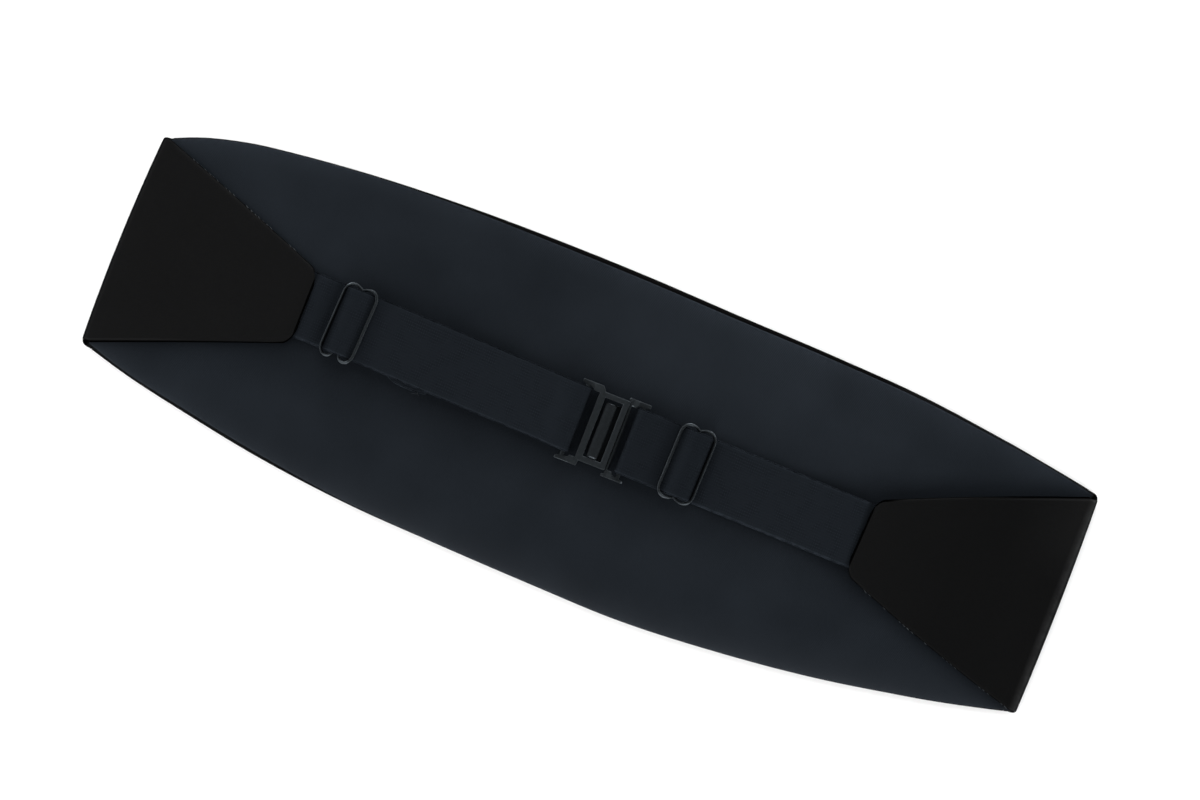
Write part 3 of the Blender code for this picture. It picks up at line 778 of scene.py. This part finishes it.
def front_section(x):
    """The satin's middle line across the garment at x, from one turned edge round to the other."""
    body = read_table(SECTIONS, x)
    width, floor = body.top - body.bottom, SATIN / 2
    deep = floor + 2 * PLEAT_STEP

    def turned(rim, side):
        """The turned edge from the floor up and in under the lining's edge: (in from the outline, z)."""
        hem = HEM_MIDDLE + waver(x, 9 * MM, 0.07 * MM, side)
        rise = ((0.55, 0.4), (0.22, 0.75), (0.08, 1.15), (0.14, 1.55))
        edge = [(2.4 * MM, floor + 0.02 * MM), (1.3 * MM, floor + 0.05 * MM)]
        edge += [(inward * MM, z * MM) for inward, z in rise]
        edge += [(0.35 * MM, hem - 0.08 * MM), (0.75 * MM, hem), (1.0 * MM + rim, hem)]
        return edge + [(2.0 * MM + rim, hem - 0.05 * MM), (5.0 * MM + rim, hem - 0.10 * MM)]

    def wandering(y, number):
        return y + waver(x, 60 * MM, 1.4 * MM, number) + waver(x, 17 * MM, 0.3 * MM, number + 9)

    def folded(y, side, layer):
        """A fold's half turn, from one layer up to the next."""
        angles = [math.radians(degrees) for degrees in (-60, -30, 0, 30, 60)]
        middle = floor + PLEAT_STEP * (layer + 0.5)
        return [
            (y + side * PLEAT_ROUND * math.cos(a), middle + PLEAT_STEP / 2 * math.sin(a)) for a in angles
        ]

    line = [(body.bottom + inward, z) for inward, z in reversed(turned(body.rim_bottom, 2))]
    for number, (low, high) in enumerate(zip((0.0, *PLEAT_ENDS), PLEAT_ENDS)):
        foot, free = body.bottom + low * width, body.bottom + high * width
        if number:
            foot = wandering(foot, number)
            line += [(blend(foot, free, share), blend(floor, deep, rise)) for share, rise in PLEAT_SLOPE]
        start = line[-1][0]
        if high == PLEAT_ENDS[-1]:
            line += [(blend(start, free - 2.4 * MM, share), floor) for share in (0.25, 0.5, 0.75)]
            continue
        free = wandering(free, number + 1)
        for share in (0.25, 0.5, 0.75):
            y = blend(start, free, share)
            line.append((y, floor + max(crease_height(LINING_CREASES, x * 0.9, y * 1.1), 0.0)))
        back = free - PLEAT_DEPTH - waver(x, 40 * MM, 1.2 * MM, number + 20)
        line += [(free - 1.2 * MM, floor), (free - 0.35 * MM, floor + 0.01 * MM)]
        line += folded(free - PLEAT_ROUND, 1, 0)
        line += [(y, floor + PLEAT_STEP) for y in (free - 0.35 * MM, free - 2.5 * MM, back + 1 * MM)]
        line += folded(back, -1, 1)
        line += [(back + 1 * MM, deep), (free - 2.5 * MM, deep)]
    line += [(body.top - inward, z) for inward, z in turned(body.rim_top, 1)]
    return [Vector((x, y, z)) for y, z in line]


def make_front(finish):
    grid = [front_section(x) for x in stations(-BODY_END, BODY_END, 141)]
    return cloth("front_satin", grid, SATIN, finish)


def make_lining(finish):
    """The lining: a flat sheet with soft creases, puckered and rolled down where it is sewn on."""
    shares = [blend(0.5 - 0.5 * math.cos(math.pi * i / 70), i / 70, 0.5) for i in range(71)]
    grid = []
    for x in stations(-LINING_END, LINING_END, 201):
        body = read_table(SECTIONS, x)
        low = body.bottom + body.rim_bottom + 0.1 * MM
        high = body.top - body.rim_top - 0.1 * MM
        row = []
        for y in (blend(low, high, share) for share in shares):
            from_edge = min(y - low, high - y)
            side = 1 if y < (low + high) / 2 else 2
            pucker = waver(x, 5.5 * MM, 0.20 * MM, side + 4) * math.exp(-((from_edge / (4 * MM)) ** 2))
            pucker *= 1 - math.exp(-from_edge / (0.7 * MM))
            drop = EDGE_DROP * math.exp(-from_edge / EDGE_REACH)
            drop += 0.55 * MM * math.exp(-(LINING_END - abs(x)) / (2.5 * MM))
            z = LINING_TOP - 0.05 * MM - LINING / 2 + crease_height(LINING_CREASES, x, y) + pucker - drop
            row.append(Vector((x, y, z)))
        grid.append(row)
    return cloth("lining_cloth", grid, LINING, finish)


def outline_cut(reach, taken_up=0.0):
    """The width, length and area of a cloth that is cut to the body's outline, as far as `reach`."""
    bodies = [read_table(SECTIONS, x) for x in stations(-reach, reach, 40)]
    widths = [body.top - body.bottom + taken_up for body in bodies]
    return max(widths), 2 * reach, sum(widths) / len(widths) * 2 * reach


# ---- The folded ends ----


def tab_rows(side):
    """Stations along a tab, from its seam on the floor round the fold to its tip.

    Each is (share across to x, the two long edges' y, middle z, the angle that its wall faces, how
    thick the sleeve is, share along the tab or None).
    """
    tab, away = TABS[side], AWAY[side]
    fold_z = (TAB_MIDDLE + TAB_FLOOR) / 2
    radius = (TAB_MIDDLE - TAB_FLOOR) / 2
    wide = tab.start_top - tab.start_bottom

    def fold_x(share):
        outermost = (
            tab.fold_top * (1 - share) * (1 - 2 * share)
            + tab.fold_middle * 4 * share * (1 - share)
            + tab.fold_bottom * share * (2 * share - 1)
        )
        rounded = 0.0
        for corner, from_corner in ((tab.round_top, share * wide), (tab.round_bottom, (1 - share) * wide)):
            into = max(1 - from_corner / corner, 0.0)
            rounded += corner * (1 - math.sqrt(1 - into * into))
        return outermost - away * (radius + 0.55 * MM + rounded)

    seam_x = away * (BODY_END + 0.25 * MM)
    seam, fold = read_table(SECTIONS, seam_x), read_table(SECTIONS, fold_x(0.02))
    rows = []
    for share in stations(0.0, 0.85, 3):
        high, low = blend(seam.top, fold.top, share), blend(seam.bottom, fold.bottom, share)
        x_of = lambda c, s=share: blend(seam_x, fold_x(c), s)
        rows.append((x_of, high, low, TAB_FLOOR, -90, TAB_THICK, None))
    for angle in range(-90, 91, 15):
        a = math.radians(angle)
        over = smooth((1 + math.sin(a)) / 2)
        high, low = blend(fold.top, tab.start_top, over), blend(fold.bottom, tab.start_bottom, over)
        x_of = lambda c, a=a: fold_x(c) + away * radius * math.cos(a)
        z = fold_z + radius * math.sin(a) - SHOULDER_DROP[side] * over
        rows.append((x_of, high, low, z, angle, TAB_THICK, None))
    length = abs(tab.tip_top - fold_x(0.5))
    distances = stations(length - 1.5 * MM, TAB_CORNER_ALONG, 52)
    distances += [TAB_CORNER_ALONG * (1 - math.sin(math.radians(a))) for a in range(8, 91, 8)]
    for distance in (*distances, 0.0):
        share = 1 - distance / length
        near = max(1 - distance / TAB_CORNER_ALONG, 0.0)
        inset = TAB_CORNER_ACROSS * (1 - math.sqrt(max(1 - near * near, 0.0)))
        swell = 4 * share * (1 - share)
        high = blend(tab.start_top, tab.tip_top_y, share) + tab.bow_top * swell - inset
        low = blend(tab.start_bottom, tab.tip_bottom_y, share) - tab.bow_bottom * swell + inset
        mouth = smooth(1 - distance / (14 * MM))
        shoulder = SHOULDER_DROP[side] * (1 - smooth((length - distance) / SHOULDER_REACH))
        z = blend(TAB_MIDDLE, TAB_MOUTH_MIDDLE, mouth) - shoulder
        x_of = lambda c, s=share: blend(fold_x(c), blend(tab.tip_top, tab.tip_bottom, c), s)
        rows.append((x_of, high, low, z, 90, blend(TAB_THICK, TAB_MOUTH, mouth), share))
    return rows


def sleeve_loop(high, low, radius):
    """(y, outward) round a flat sleeve: along its outer face, round one edge, back and round the other."""
    flats, roll = 44, 6
    spread = [smooth(i / flats) * 0.5 + i / flats * 0.5 for i in range(flats + 1)]
    turned = [math.pi * i / roll for i in range(1, roll)]
    loop = [(blend(high - radius, low + radius, s), radius) for s in spread]
    loop += [(low + radius - radius * math.sin(a), radius * math.cos(a)) for a in turned]
    loop += [(blend(low + radius, high - radius, s), -radius) for s in spread]
    return loop + [(high - radius + radius * math.sin(a), -radius * math.cos(a)) for a in turned]


def make_tab(side, finish):
    """One folded end, as a flat sleeve of satin: round the fold, then tapered to its open tip."""
    tab, (lift_top, lift_bottom) = TABS[side], TAB_LIFT[side]
    grid, edge_away = [], []
    for x_of, high, low, z, angle, thick, share in tab_rows(side):
        facing = Vector((AWAY[side] * math.cos(math.radians(angle)), 0, math.sin(math.radians(angle))))
        row, aways = [], []
        for y, outward in sleeve_loop(high, low, thick / 2):
            c = min(max((high - y) / max(high - low, 1e-6), 0.0), 1.0)
            x = x_of(c)
            from_top, from_bottom = high - y, y - low
            sewn, loose = (from_top, from_bottom) if SEWN_ON_TOP[side] else (from_bottom, from_top)
            raise_by = 0.0
            if share is not None:
                along = math.sin(math.pi * min(share * 1.02, 1.0)) ** 0.7 if share < 0.98 else 0.0
                raise_by += lift_top * along * (1 - smooth(from_top / (22 * MM)))
                raise_by += lift_bottom * along * (1 - smooth(from_bottom / (18 * MM)))
                if outward > 0:
                    ramp = smooth(share / 0.1) * smooth((1 - share) / 0.06)
                    raise_by += crease_height(TAB_CREASES[side], x, y) * ramp
                    raise_by += waver(x, 5.0 * MM, 0.26 * MM, 31) * math.exp(-((sewn / (2.2 * MM)) ** 2))
                    from_welt = min(from_top, from_bottom) - 1.3 * MM
                    raise_by += 0.08 * MM * math.exp(-((from_welt / (0.9 * MM)) ** 2))
                raise_by -= SEWN_SINK * smooth(share / 0.08) * math.exp(-max(sewn, 0.0) / (3.5 * MM))
            row.append(Vector((x, y, z)) + facing * outward + Vector((0, 0, raise_by)))
            from_tip = abs(x - blend(tab.tip_top, tab.tip_bottom, c)) if share else 1.0
            aways.append(max(min(loose, from_tip), 0.0))
        grid.append(row)
        edge_away.append(aways)
    return cloth(f"tab_{side}_satin", grid, SATIN, finish, around=True, edge=lambda r, c: edge_away[r][c])


def tab_cut(side):
    """The two layers of a tab, side by side: flat width, length and area."""
    tab = TABS[side]
    fold = read_table(SECTIONS, AWAY[side] * BODY_END)
    wide, narrow = fold.top - fold.bottom, tab.tip_top_y - tab.tip_bottom_y
    length = abs(tab.fold_middle - tab.tip_top)
    return 2 * wide, length + ROUND_FOLD, (wide + narrow) * length + 2 * wide * ROUND_FOLD


def sewn_edge(side, share):
    """A point on the sewn edge of a tab, a share of the way from its fold to its tip."""
    tab = TABS[side]
    if SEWN_ON_TOP[side]:
        start, end, bow, fold, tip = tab.start_top, tab.tip_top_y, tab.bow_top, tab.fold_top, tab.tip_top
    else:
        start, end, bow = tab.start_bottom, tab.tip_bottom_y, -tab.bow_bottom
        fold, tip = tab.fold_bottom, tab.tip_bottom
    y = blend(start, end, share) + bow * 4 * share * (1 - share)
    return Vector((blend(fold - AWAY[side] * 2.5 * MM, tip, share), y, LINING_TOP + 0.45 * MM))


def make_stitches(side, finish):
    """Short slip stitches along a sewn edge, in runs, each slanting from the lining onto the tab."""
    outward = 1 if SEWN_ON_TOP[side] else -1
    runs = []
    for low, high in STITCH_RUNS[side]:
        place = low
        while place < high:
            length = 0.015 + 0.006 * noise.noise(Vector((place * 90, 3.1, 0.7)))
            start, end = sewn_edge(side, place), sewn_edge(side, place + length)
            start.y += outward * (0.35 + 0.25 * noise.noise(Vector((place * 70, 0.2, 9.0)))) * MM
            end.y += outward * (0.05 + 0.25 * noise.noise(Vector((place * 70, 5.2, 2.0)))) * MM
            end.z += 0.35 * MM
            run = []
            for share in (0.0, 0.12, 0.35, 0.65, 0.88, 1.0):
                run.append(start.lerp(end, share) + Vector((0, 0, 0.12 * MM * math.sin(math.pi * share))))
            runs.append(run)
            place += 0.026 + 0.008 * noise.noise(Vector((place * 50, 7.0, 4.0)))
    return add_threads(f"tab_{side}_stitches", runs, 0.13 * MM, finish)


# ---- The straps ----


def strap_path(side):
    """A strap's middle surface from inside its tab to its free end, as (x, z) points, and its marks.

    It dips under the slide's near wire, climbs over the middle bar, dips under the far wire, runs
    to the buckle and turns round its bar. It comes back below itself, turns round the slide's bar
    and lies back under both layers.
    """
    toward = -AWAY[side]
    tab, slide, bar_x = TABS[side], SLIDES[side].x, BAR_X[side]
    single, double, triple = STRAP_LAYERS
    bar_turn = BUCKLE_WALL / 2 + GAP + STRAP_WALL / 2
    slide_turn = WIRE + 0.1 * MM + STRAP_WALL / 2
    loop_top, loop_foot = SLIDE_MIDDLE + slide_turn, SLIDE_MIDDLE - slide_turn
    crest = loop_top + STRAP_WALL + 0.1 * MM
    to_bar, to_end = abs(bar_x - slide) / MM, STRAP_FREE_END[side] / MM

    def at(distance, z):
        return slide + toward * distance * MM, z

    tip = min(abs(tab.tip_top), abs(tab.tip_bottom))
    path = [(-toward * (tip + IN_TAB), TAB_MOUTH_MIDDLE), (-toward * (tip + 2 * MM), TAB_MOUTH_MIDDLE)]
    path += [(-toward * (tip - 2 * MM), TAB_MOUTH_MIDDLE - 0.1 * MM), at(-11, single)]
    path += [at(-6.9, single + 0.05 * MM), at(-6.1, single + 0.9 * MM)]
    path += [at(-5.65, blend(single, crest, 0.66)), at(-5.1, crest - 0.98 * MM)]
    path += [at(-3.6, crest - 0.5 * MM), at(-1.8, crest - 0.12 * MM)]
    path += ease(at(0.2, crest), at(7.2, triple), 8)
    upper_turn = at(to_bar - 2, BUCKLE_MIDDLE + bar_turn)
    round_bar = turn(bar_x, BUCKLE_MIDDLE, bar_turn, toward, 12)
    if to_bar - to_end > 25:
        path += ease(at(to_end + 1, triple), at(to_end + 22, double), 10)
        path += ease(at(to_bar - 14, double), upper_turn, 8) + round_bar
        path += ease(at(to_end + 20, single), at(to_end + 1.2, double), 10)
    else:
        path += ease(at(9, triple), upper_turn, 6) + round_bar
        path += ease(at(to_end + 8, single), at(to_end + 1.2, double), 6)
    path += ease(at(5.2, double), at(0.2, loop_top), 8)
    loop_begins = len(path)
    path += turn(slide, SLIDE_MIDDLE, slide_turn, -toward, 12)
    loop_ends = len(path)
    path += ease(at(0.3, loop_foot), at(5.0, single), 5)
    end_begins = len(path)
    path += [at(blend(5.0, to_end, share), single) for share in (0.3, 0.4, 0.5, 0.6, 0.7, 0.8, 0.9, 1.0)]
    return path, (loop_begins, loop_ends, end_begins)


def make_strap(side, finish):
    """A strap as one ribbed ribbon. Its threads lean as its slide does, and square up at both ends."""
    path, (loop_begins, loop_ends, end_begins) = strap_path(side)
    slide, bar_x, tab_x = SLIDES[side].x, BAR_X[side], path[0][0]
    marks = []
    for number in range(len(path)):
        from_loop = max(loop_begins - number, number - loop_ends, 0)
        stray = max(number - end_begins, 0) / (len(path) - 1 - end_begins)
        stray = smooth(stray * 3.5 - 0.8) * (1 - 0.4 * smooth(stray * 4 - 3))
        marks.append((max(1.0 - from_loop / 9, 0.0), stray))
    line = resample([(x, z, 0.0) for x, z in path], 0.75 * MM)
    columns = 4 * STRAP_RIBS + 1
    grid = []
    for point, (i, share) in zip(line, even_steps(measure(path), len(line) - 1)):
        gather, stray = (blend(low, high, share) for low, high in zip(marks[i], marks[i + 1]))
        x, z = point.x, point.y
        end_x = bar_x if (x - slide) * (bar_x - slide) > 0 else tab_x
        beyond = max(abs(x - slide) - SLIDE_REACH, 0.0) / (abs(end_x - slide) - SLIDE_REACH)
        lean = math.tan(SLIDE_LEAN[side]) * max(1.0 - beyond, 0.0)
        half_width = STRAP_WIDTH / 2 - STRAP_GATHER / 2 * gather
        row = []
        for across in stations(-half_width, half_width, columns):
            place = x + across * lean
            y = read_table(STRAP_AXES[side], place).y + across + STRAP_STRAY[side] * stray
            row.append(Vector((place, y, z)))
        grid.append(row)

    def wall(c):
        """Ribs along the ribbon, and a fuller selvage along each edge."""
        at_selvage = min(c, columns - 1 - c) / 4 < 1.2
        return STRAP_WALL + RIB_RELIEF * ((0.6 if at_selvage else math.cos(2 * math.pi * (c / 4 + 0.5))) - 1)

    return cloth(f"strap_{side}_elastic", grid, wall, finish)


def strap_length(side):
    path, _ = strap_path(side)
    return measure(path)[-1]


def make_frayed_end(finish):
    """The few loose threads at the cut end of the left strap."""
    runs = []
    for x, y, reach, turned in ((-68.7, -11.5, 2.6, 194), (-68.9, -11.3, 1.1, -50), (-69.2, -10.6, 1.0, -80)):
        start = Vector((x * MM, y * MM, STRAP_LAYERS[0] + 0.55 * MM))
        way = Vector((math.cos(math.radians(turned)), math.sin(math.radians(turned)), 0.0)) * reach * MM
        bend = Vector((0, 0, 0.3 * MM))
        runs.append([start, start + way * 0.3 + bend * 0.6, start + way * 0.7 + bend, start + way])
    return add_threads("strap_end_threads", runs, 0.07 * MM, finish)


# ---- The slides ----


def slide_outline(half_width, open_below):
    """One slide's wire: two straight sides, and at each end two lobes that meet in a notch.

    With `open_below`, the lower lobes turn in steeply and meet out of sight beneath the strap.
    """
    wide, tall = half_width - LOBE_X, SLIDE_HALF_LENGTH - SHOULDER
    quarter = [math.radians(degrees) for degrees in range(0, 91, 9)]
    lobe = [(LOBE_X + wide * math.cos(a), SHOULDER + tall * math.sin(a)) for a in quarter]
    dip = SLIDE_HALF_LENGTH - NOTCH_END
    upper = lobe + [(LOBE_X * (1 - t), SLIDE_HALF_LENGTH - dip * t * t) for t in stations(0.0, 1.0, 9)[1:]]
    lower = upper
    if open_below:
        reach = LOBE_X - OPEN_NOTCH
        inward = [math.radians(degrees) for degrees in range(10, 91, 10)]
        lower = lobe + [
            (LOBE_X - reach * math.sin(a), SLIDE_HALF_LENGTH - reach * (1 - math.cos(a))) for a in inward
        ]
        lower.append((0.0, lower[-1][1] - 0.4 * MM))
    upper = upper + [(-x, y) for x, y in reversed(upper[:-1])]
    lower = lower + [(-x, y) for x, y in reversed(lower[:-1])]
    return [Vector((x, y, 0)) for x, y in upper] + [Vector((-x, -y, 0)) for x, y in lower]


def make_slide(side, finish):
    """A bent wire with a middle bar, tipped up on the side where the strap is three layers thick."""
    half_width = SLIDE_HALF_WIDTH[side]
    tilt = math.asin((SLIDE_HIGH - SLIDE_LOW) / (2 * half_width)) * AWAY[side]
    outline = resample_loop(slide_outline(half_width, side == "left"), 0.45 * MM)
    bar = [Vector((0, y, 0)) for y in stations(-NOTCH_END + 1.3 * MM, NOTCH_END, 9)]
    points, faces = join((tube(outline, WIRE, 14, closed=True), tube(bar, BAR_WIRE, 14)))
    place = Matrix.Translation((*SLIDES[side], SLIDE_MIDDLE))
    place @= Matrix.Rotation(-SLIDE_LEAN[side], 4, "Z") @ Matrix.Rotation(tilt, 4, "Y")
    return add_mesh(f"slide_{side}_wire", [place @ point for point in points], faces, finish)


# ---- The buckle ----


def casting(name, upper, cells, middle_y, finish, lower, sunk):
    """A flat casting from cells of named corners, mirrored end to end, with its edges rounded over.

    `lower` moves some of the lower end's corners, and `sunk` is how far the top sinks at a corner.
    """
    shape = bmesh.new()
    low = BUCKLE_MIDDLE - BUCKLE_WALL / 2
    points, drops = {}, []
    for key, (x, y) in upper.items():
        points[key] = shape.verts.new((x * MM, middle_y + y * MM, low))
        x, y = lower.get(key, (x, y))
        points["lower_" + key] = shape.verts.new((x * MM, middle_y - y * MM, low))
        for end in (key, "lower_" + key):
            drops.append((points[end].co.copy(), sunk.get(key, 0.0) * MM))
    faces = []
    for cell in cells:
        faces.append(shape.faces.new([points[key] for key in cell]))
        if not any(key.startswith("lower_") for key in cell):
            faces.append(shape.faces.new([points["lower_" + key] for key in reversed(cell)]))
    for vertex in bmesh.ops.extrude_face_region(shape, geom=faces)["geom"]:
        if isinstance(vertex, bmesh.types.BMVert):
            outside = max(abs(vertex.co.y - middle_y) - ARM_SLOPE_BEGINS, 0.0)
            _, drop = min(drops, key=lambda entry: (entry[0] - vertex.co).length)
            vertex.co.z += BUCKLE_WALL - ARM_SLOPE * outside - drop
    bmesh.ops.recalc_face_normals(shape, faces=shape.faces)
    edges = [e for e in shape.edges if e.is_manifold and e.calc_face_angle() > math.radians(30)]
    bmesh.ops.bevel(
        shape, geom=edges, offset=CASTING_ROUND, segments=3, profile=0.5, affect="EDGES", clamp_overlap=True
    )
    made = add_shape(bpy.data.meshes.new(name), shape, finish)
    made.modifiers.new("Even faces", "WEIGHTED_NORMAL")
    return made


def make_arm(outer_y, inner):
    """An arm's corners from its tip in to its post, with those along its outer side, and its cells."""
    names = ("tip", "bar_back", "bar_front", "shoulder", "root", "post")
    corners = dict(zip(names, inner))
    corners |= {name + "_out": (x, outer_y) for name, (x, y) in corners.items()}
    cells = [(one + "_out", one, other, other + "_out") for one, other in zip(names, names[1:])]
    return corners, cells + [("bar_back", "lower_bar_back", "lower_bar_front", "bar_front")]


def make_frame(finish):
    """The slotted half: a slot between two posts, and a pair of arms that carry the left strap's bar."""
    arm = ((-8.4, 15.9), (-6.6, 15.1), (-5.0, 15.0), (-3.2, 14.95), (-2.9, 14.0), (-0.4, 14.0))
    corners, cells = make_arm(17.1, arm)
    corners |= {"arm_root_out": (0.3, 17.1), "post_inner": (1.8, 15.0), "post_side": (-0.4, 12.85)}
    corners |= {"slot_near": (2.4, 12.85), "slot_far": (10.1, 12.85), "far_inner": (10.1, 15.0)}
    corners |= {"far_out": (12.6, 15.0), "far_side": (12.6, 12.85)}
    cells += [
        ("post_out", "post", "post_side", "slot_near", "post_inner", "arm_root_out"),
        ("post_inner", "slot_near", "slot_far", "far_inner"),
        ("far_inner", "slot_far", "far_side", "far_out"),
        ("post_side", "lower_post_side", "lower_slot_near", "slot_near"),
        ("slot_far", "lower_slot_far", "lower_far_side", "far_side"),
    ]
    lower = {"arm_root_out": (1.0, 17.1), "post_inner": (1.25, 14.75), "far_inner": (10.1, 14.75)}
    lower |= {"far_out": (12.6, 14.75), "slot_near": (2.4, 12.4), "slot_far": (10.1, 12.4)}
    sunk = {"bar_back": BAR_SINK, "bar_front": BAR_SINK}
    return casting("buckle_slot_casting", corners, cells, BUCKLE_Y["left"], finish, lower, sunk)


def make_hook(finish):
    """The hook half: a post and a pair of arms that carry the right strap's bar."""
    arm = ((21.15, 15.1), (19.4, 15.0), (17.8, 14.9), (16.0, 14.85), (15.7, 13.8), (13.65, 13.8))
    corners, cells = make_arm(16.9, arm)
    corners |= {"post_out": (13.9, 16.9), "corner_out": (12.9, 16.9), "corner_in": (12.9, 15.7)}
    corners |= {"wing_out": (11.8, 16.9), "wing_in": (11.8, 15.7), "post_side": (12.9, 13.8)}
    cells += [
        ("post_out", "post", "post_side", "corner_in", "corner_out"),
        ("corner_out", "corner_in", "wing_in", "wing_out"),
        ("post", "lower_post", "lower_post_side", "post_side"),
    ]
    lower = {"tip": (21.15, 15.9), "bar_back": (19.4, 15.7), "bar_front": (17.8, 15.5)}
    sunk = {"bar_back": BAR_SINK, "bar_front": BAR_SINK, "post_side": 0.5, "post": BAR_SINK}
    return casting("buckle_hook_casting", corners, cells, BUCKLE_Y["right"], finish, lower, sunk)


def make_tongue(finish):
    """The hook half's tongue: under the far post, and curled up and over in the slot."""
    foot = LINING_TOP + GAP + TONGUE_WALL / 2
    lip = foot + 2 * TONGUE_CURL
    path = [(13.8 * MM, foot + TONGUE_WALL), (13.4 * MM, foot + 0.15 * MM)]
    path += [(12.7 * MM, foot), (9.0 * MM, foot)]
    path += reversed(turn(TONGUE_TURN_X, foot + TONGUE_CURL, TONGUE_CURL, -1, 14))
    for x, down in ((6.2, 0.0), (6.9, 0.08), (7.35, 0.38), (7.65, 0.8), (7.85, 1.4)):
        path.append((x * MM, lip - down * MM))
    shares = (0.0, 0.01, 0.03, 0.06, 0.5, 0.94, 0.97, 0.99, 1.0)
    across = [BUCKLE_Y["right"] + blend(-TONGUE_WIDTH / 2, TONGUE_WIDTH / 2, share) for share in shares]
    line = resample([(x, z, 0.0) for x, z in path], 0.35 * MM)
    grid = [[Vector((point.x, y, point.y)) for y in across] for point in line]
    return cloth("buckle_tongue", grid, TONGUE_WALL, finish)


# ---- The camera, the light and the floor ----


def make_camera():
    """Straight above, rolled so that the garment runs down to the right."""
    lens = bpy.data.cameras.new("camera")
    lens.lens, lens.sensor_width, lens.clip_end = 90, 36, 20
    view_width = 485.4 * MM
    distance = view_width * lens.lens / lens.sensor_width
    made = add("camera", lens, (0.72 * MM, 13.1 * MM, distance + LINING_TOP))
    made.rotation_euler = (0, 0, math.radians(21.35))
    bpy.context.scene.camera = made


def make_light(name, place, size, power):
    """A square softbox that faces the garment."""
    light = bpy.data.lights.new(name, "AREA")
    light.size = size
    light.energy = power
    made = add(name, light, place)
    made.rotation_euler = (-Vector(place)).to_track_quat("-Z", "Y").to_euler()


def make_world():
    """A studio round the garment: pale at the horizon, more so on its upper side, and dim overhead."""
    world = bpy.data.worlds.new("studio")
    world.use_nodes = True
    tree = world.node_tree
    _, y, z = node(tree, "TexCoord", output="Generated").split()
    glow = z.ramp(0.0, 0.5, 11.2, 0.22, interpolation_type="SMOOTHSTEP") * y.ramp(-1, 1, 0.80, 1.20)
    plug(tree, tree.nodes["Background"].inputs["Strength"], glow)
    plug(tree, tree.nodes["Background"].inputs["Color"], (1, 1, 1, 1))
    bpy.context.scene.world = world


def make_floor(finish):
    shape = bmesh.new()
    bmesh.ops.create_circle(shape, cap_ends=True, radius=FLOOR_RADIUS, segments=96)
    mesh = bpy.data.meshes.new("floor")
    shape.to_mesh(mesh)
    shape.free()
    mesh.materials.append(finish)
    made = add("floor", mesh, (0, 0, -0.05 * MM))


def main():
    satin, lining, elastic = make_satin(), make_lining_cloth(), make_elastic()
    cast_enamel = make_enamel("cast_enamel", 0.0214, 0.54, 0.36, CAST_GLINTS)
    wire_enamel = make_enamel("wire_enamel", 0.0150, 0.54, 0.36, WIRE_GLINTS)
    dull_enamel = make_enamel("dull_enamel", 0.0104, 0.10, 0.60, TONGUE_GLINTS_AND_SHADE)
    thread = make_thread("sewing_thread", (0.034, 0.038, 0.041))
    pale_thread = make_thread("loose_thread", (0.026, 0.030, 0.033))

    make_camera()
    make_world()
    make_light("key", (0.5, -1.2, 0.68), 0.6, 12)
    make_light("left_fill", (-1.3, -0.35, 0.75), 1.3, 12)
    make_light("top_fill", (-0.3, 1.3, 0.75), 1.3, 18.5)
    make_floor(make_floor_paint())

    front = make_front(satin)
    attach(front, "root")
    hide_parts("front_panel")
    width, length, area = outline_cut(BODY_END, 2 * PLEAT_DEPTH * (len(PLEAT_ENDS) - 1) + 2 * HEM)

    back = make_lining(lining)
    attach(back, "root")
    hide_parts("back_lining")
    width, length, area = outline_cut(LINING_END)

    for side in SIDES:
        tab = make_tab(side, satin)
        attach(tab, "root")
        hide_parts(f"tab_{side}")
        width, length, area = tab_cut(side)

        strap = make_strap(side, elastic)
        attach(strap, "root")
        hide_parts(f"strap_{side}")
        strap_length(side)

        slide = make_slide(side, wire_enamel)
        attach(slide, "root")
        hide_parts(f"slide_{side}")

        sewing = make_stitches(side, thread)
        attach(sewing, "root")

    fraying = make_frayed_end(pale_thread)
    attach(fraying, "root")

    for made, name in ((make_frame(cast_enamel), "buckle_frame"), (make_hook(cast_enamel), "buckle_hook")):
        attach(made, "root")
        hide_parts(name)

    tongue = make_tongue(dull_enamel)
    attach(tongue, "root")

    bpy.context.scene.view_settings.view_transform = "Standard"


main()
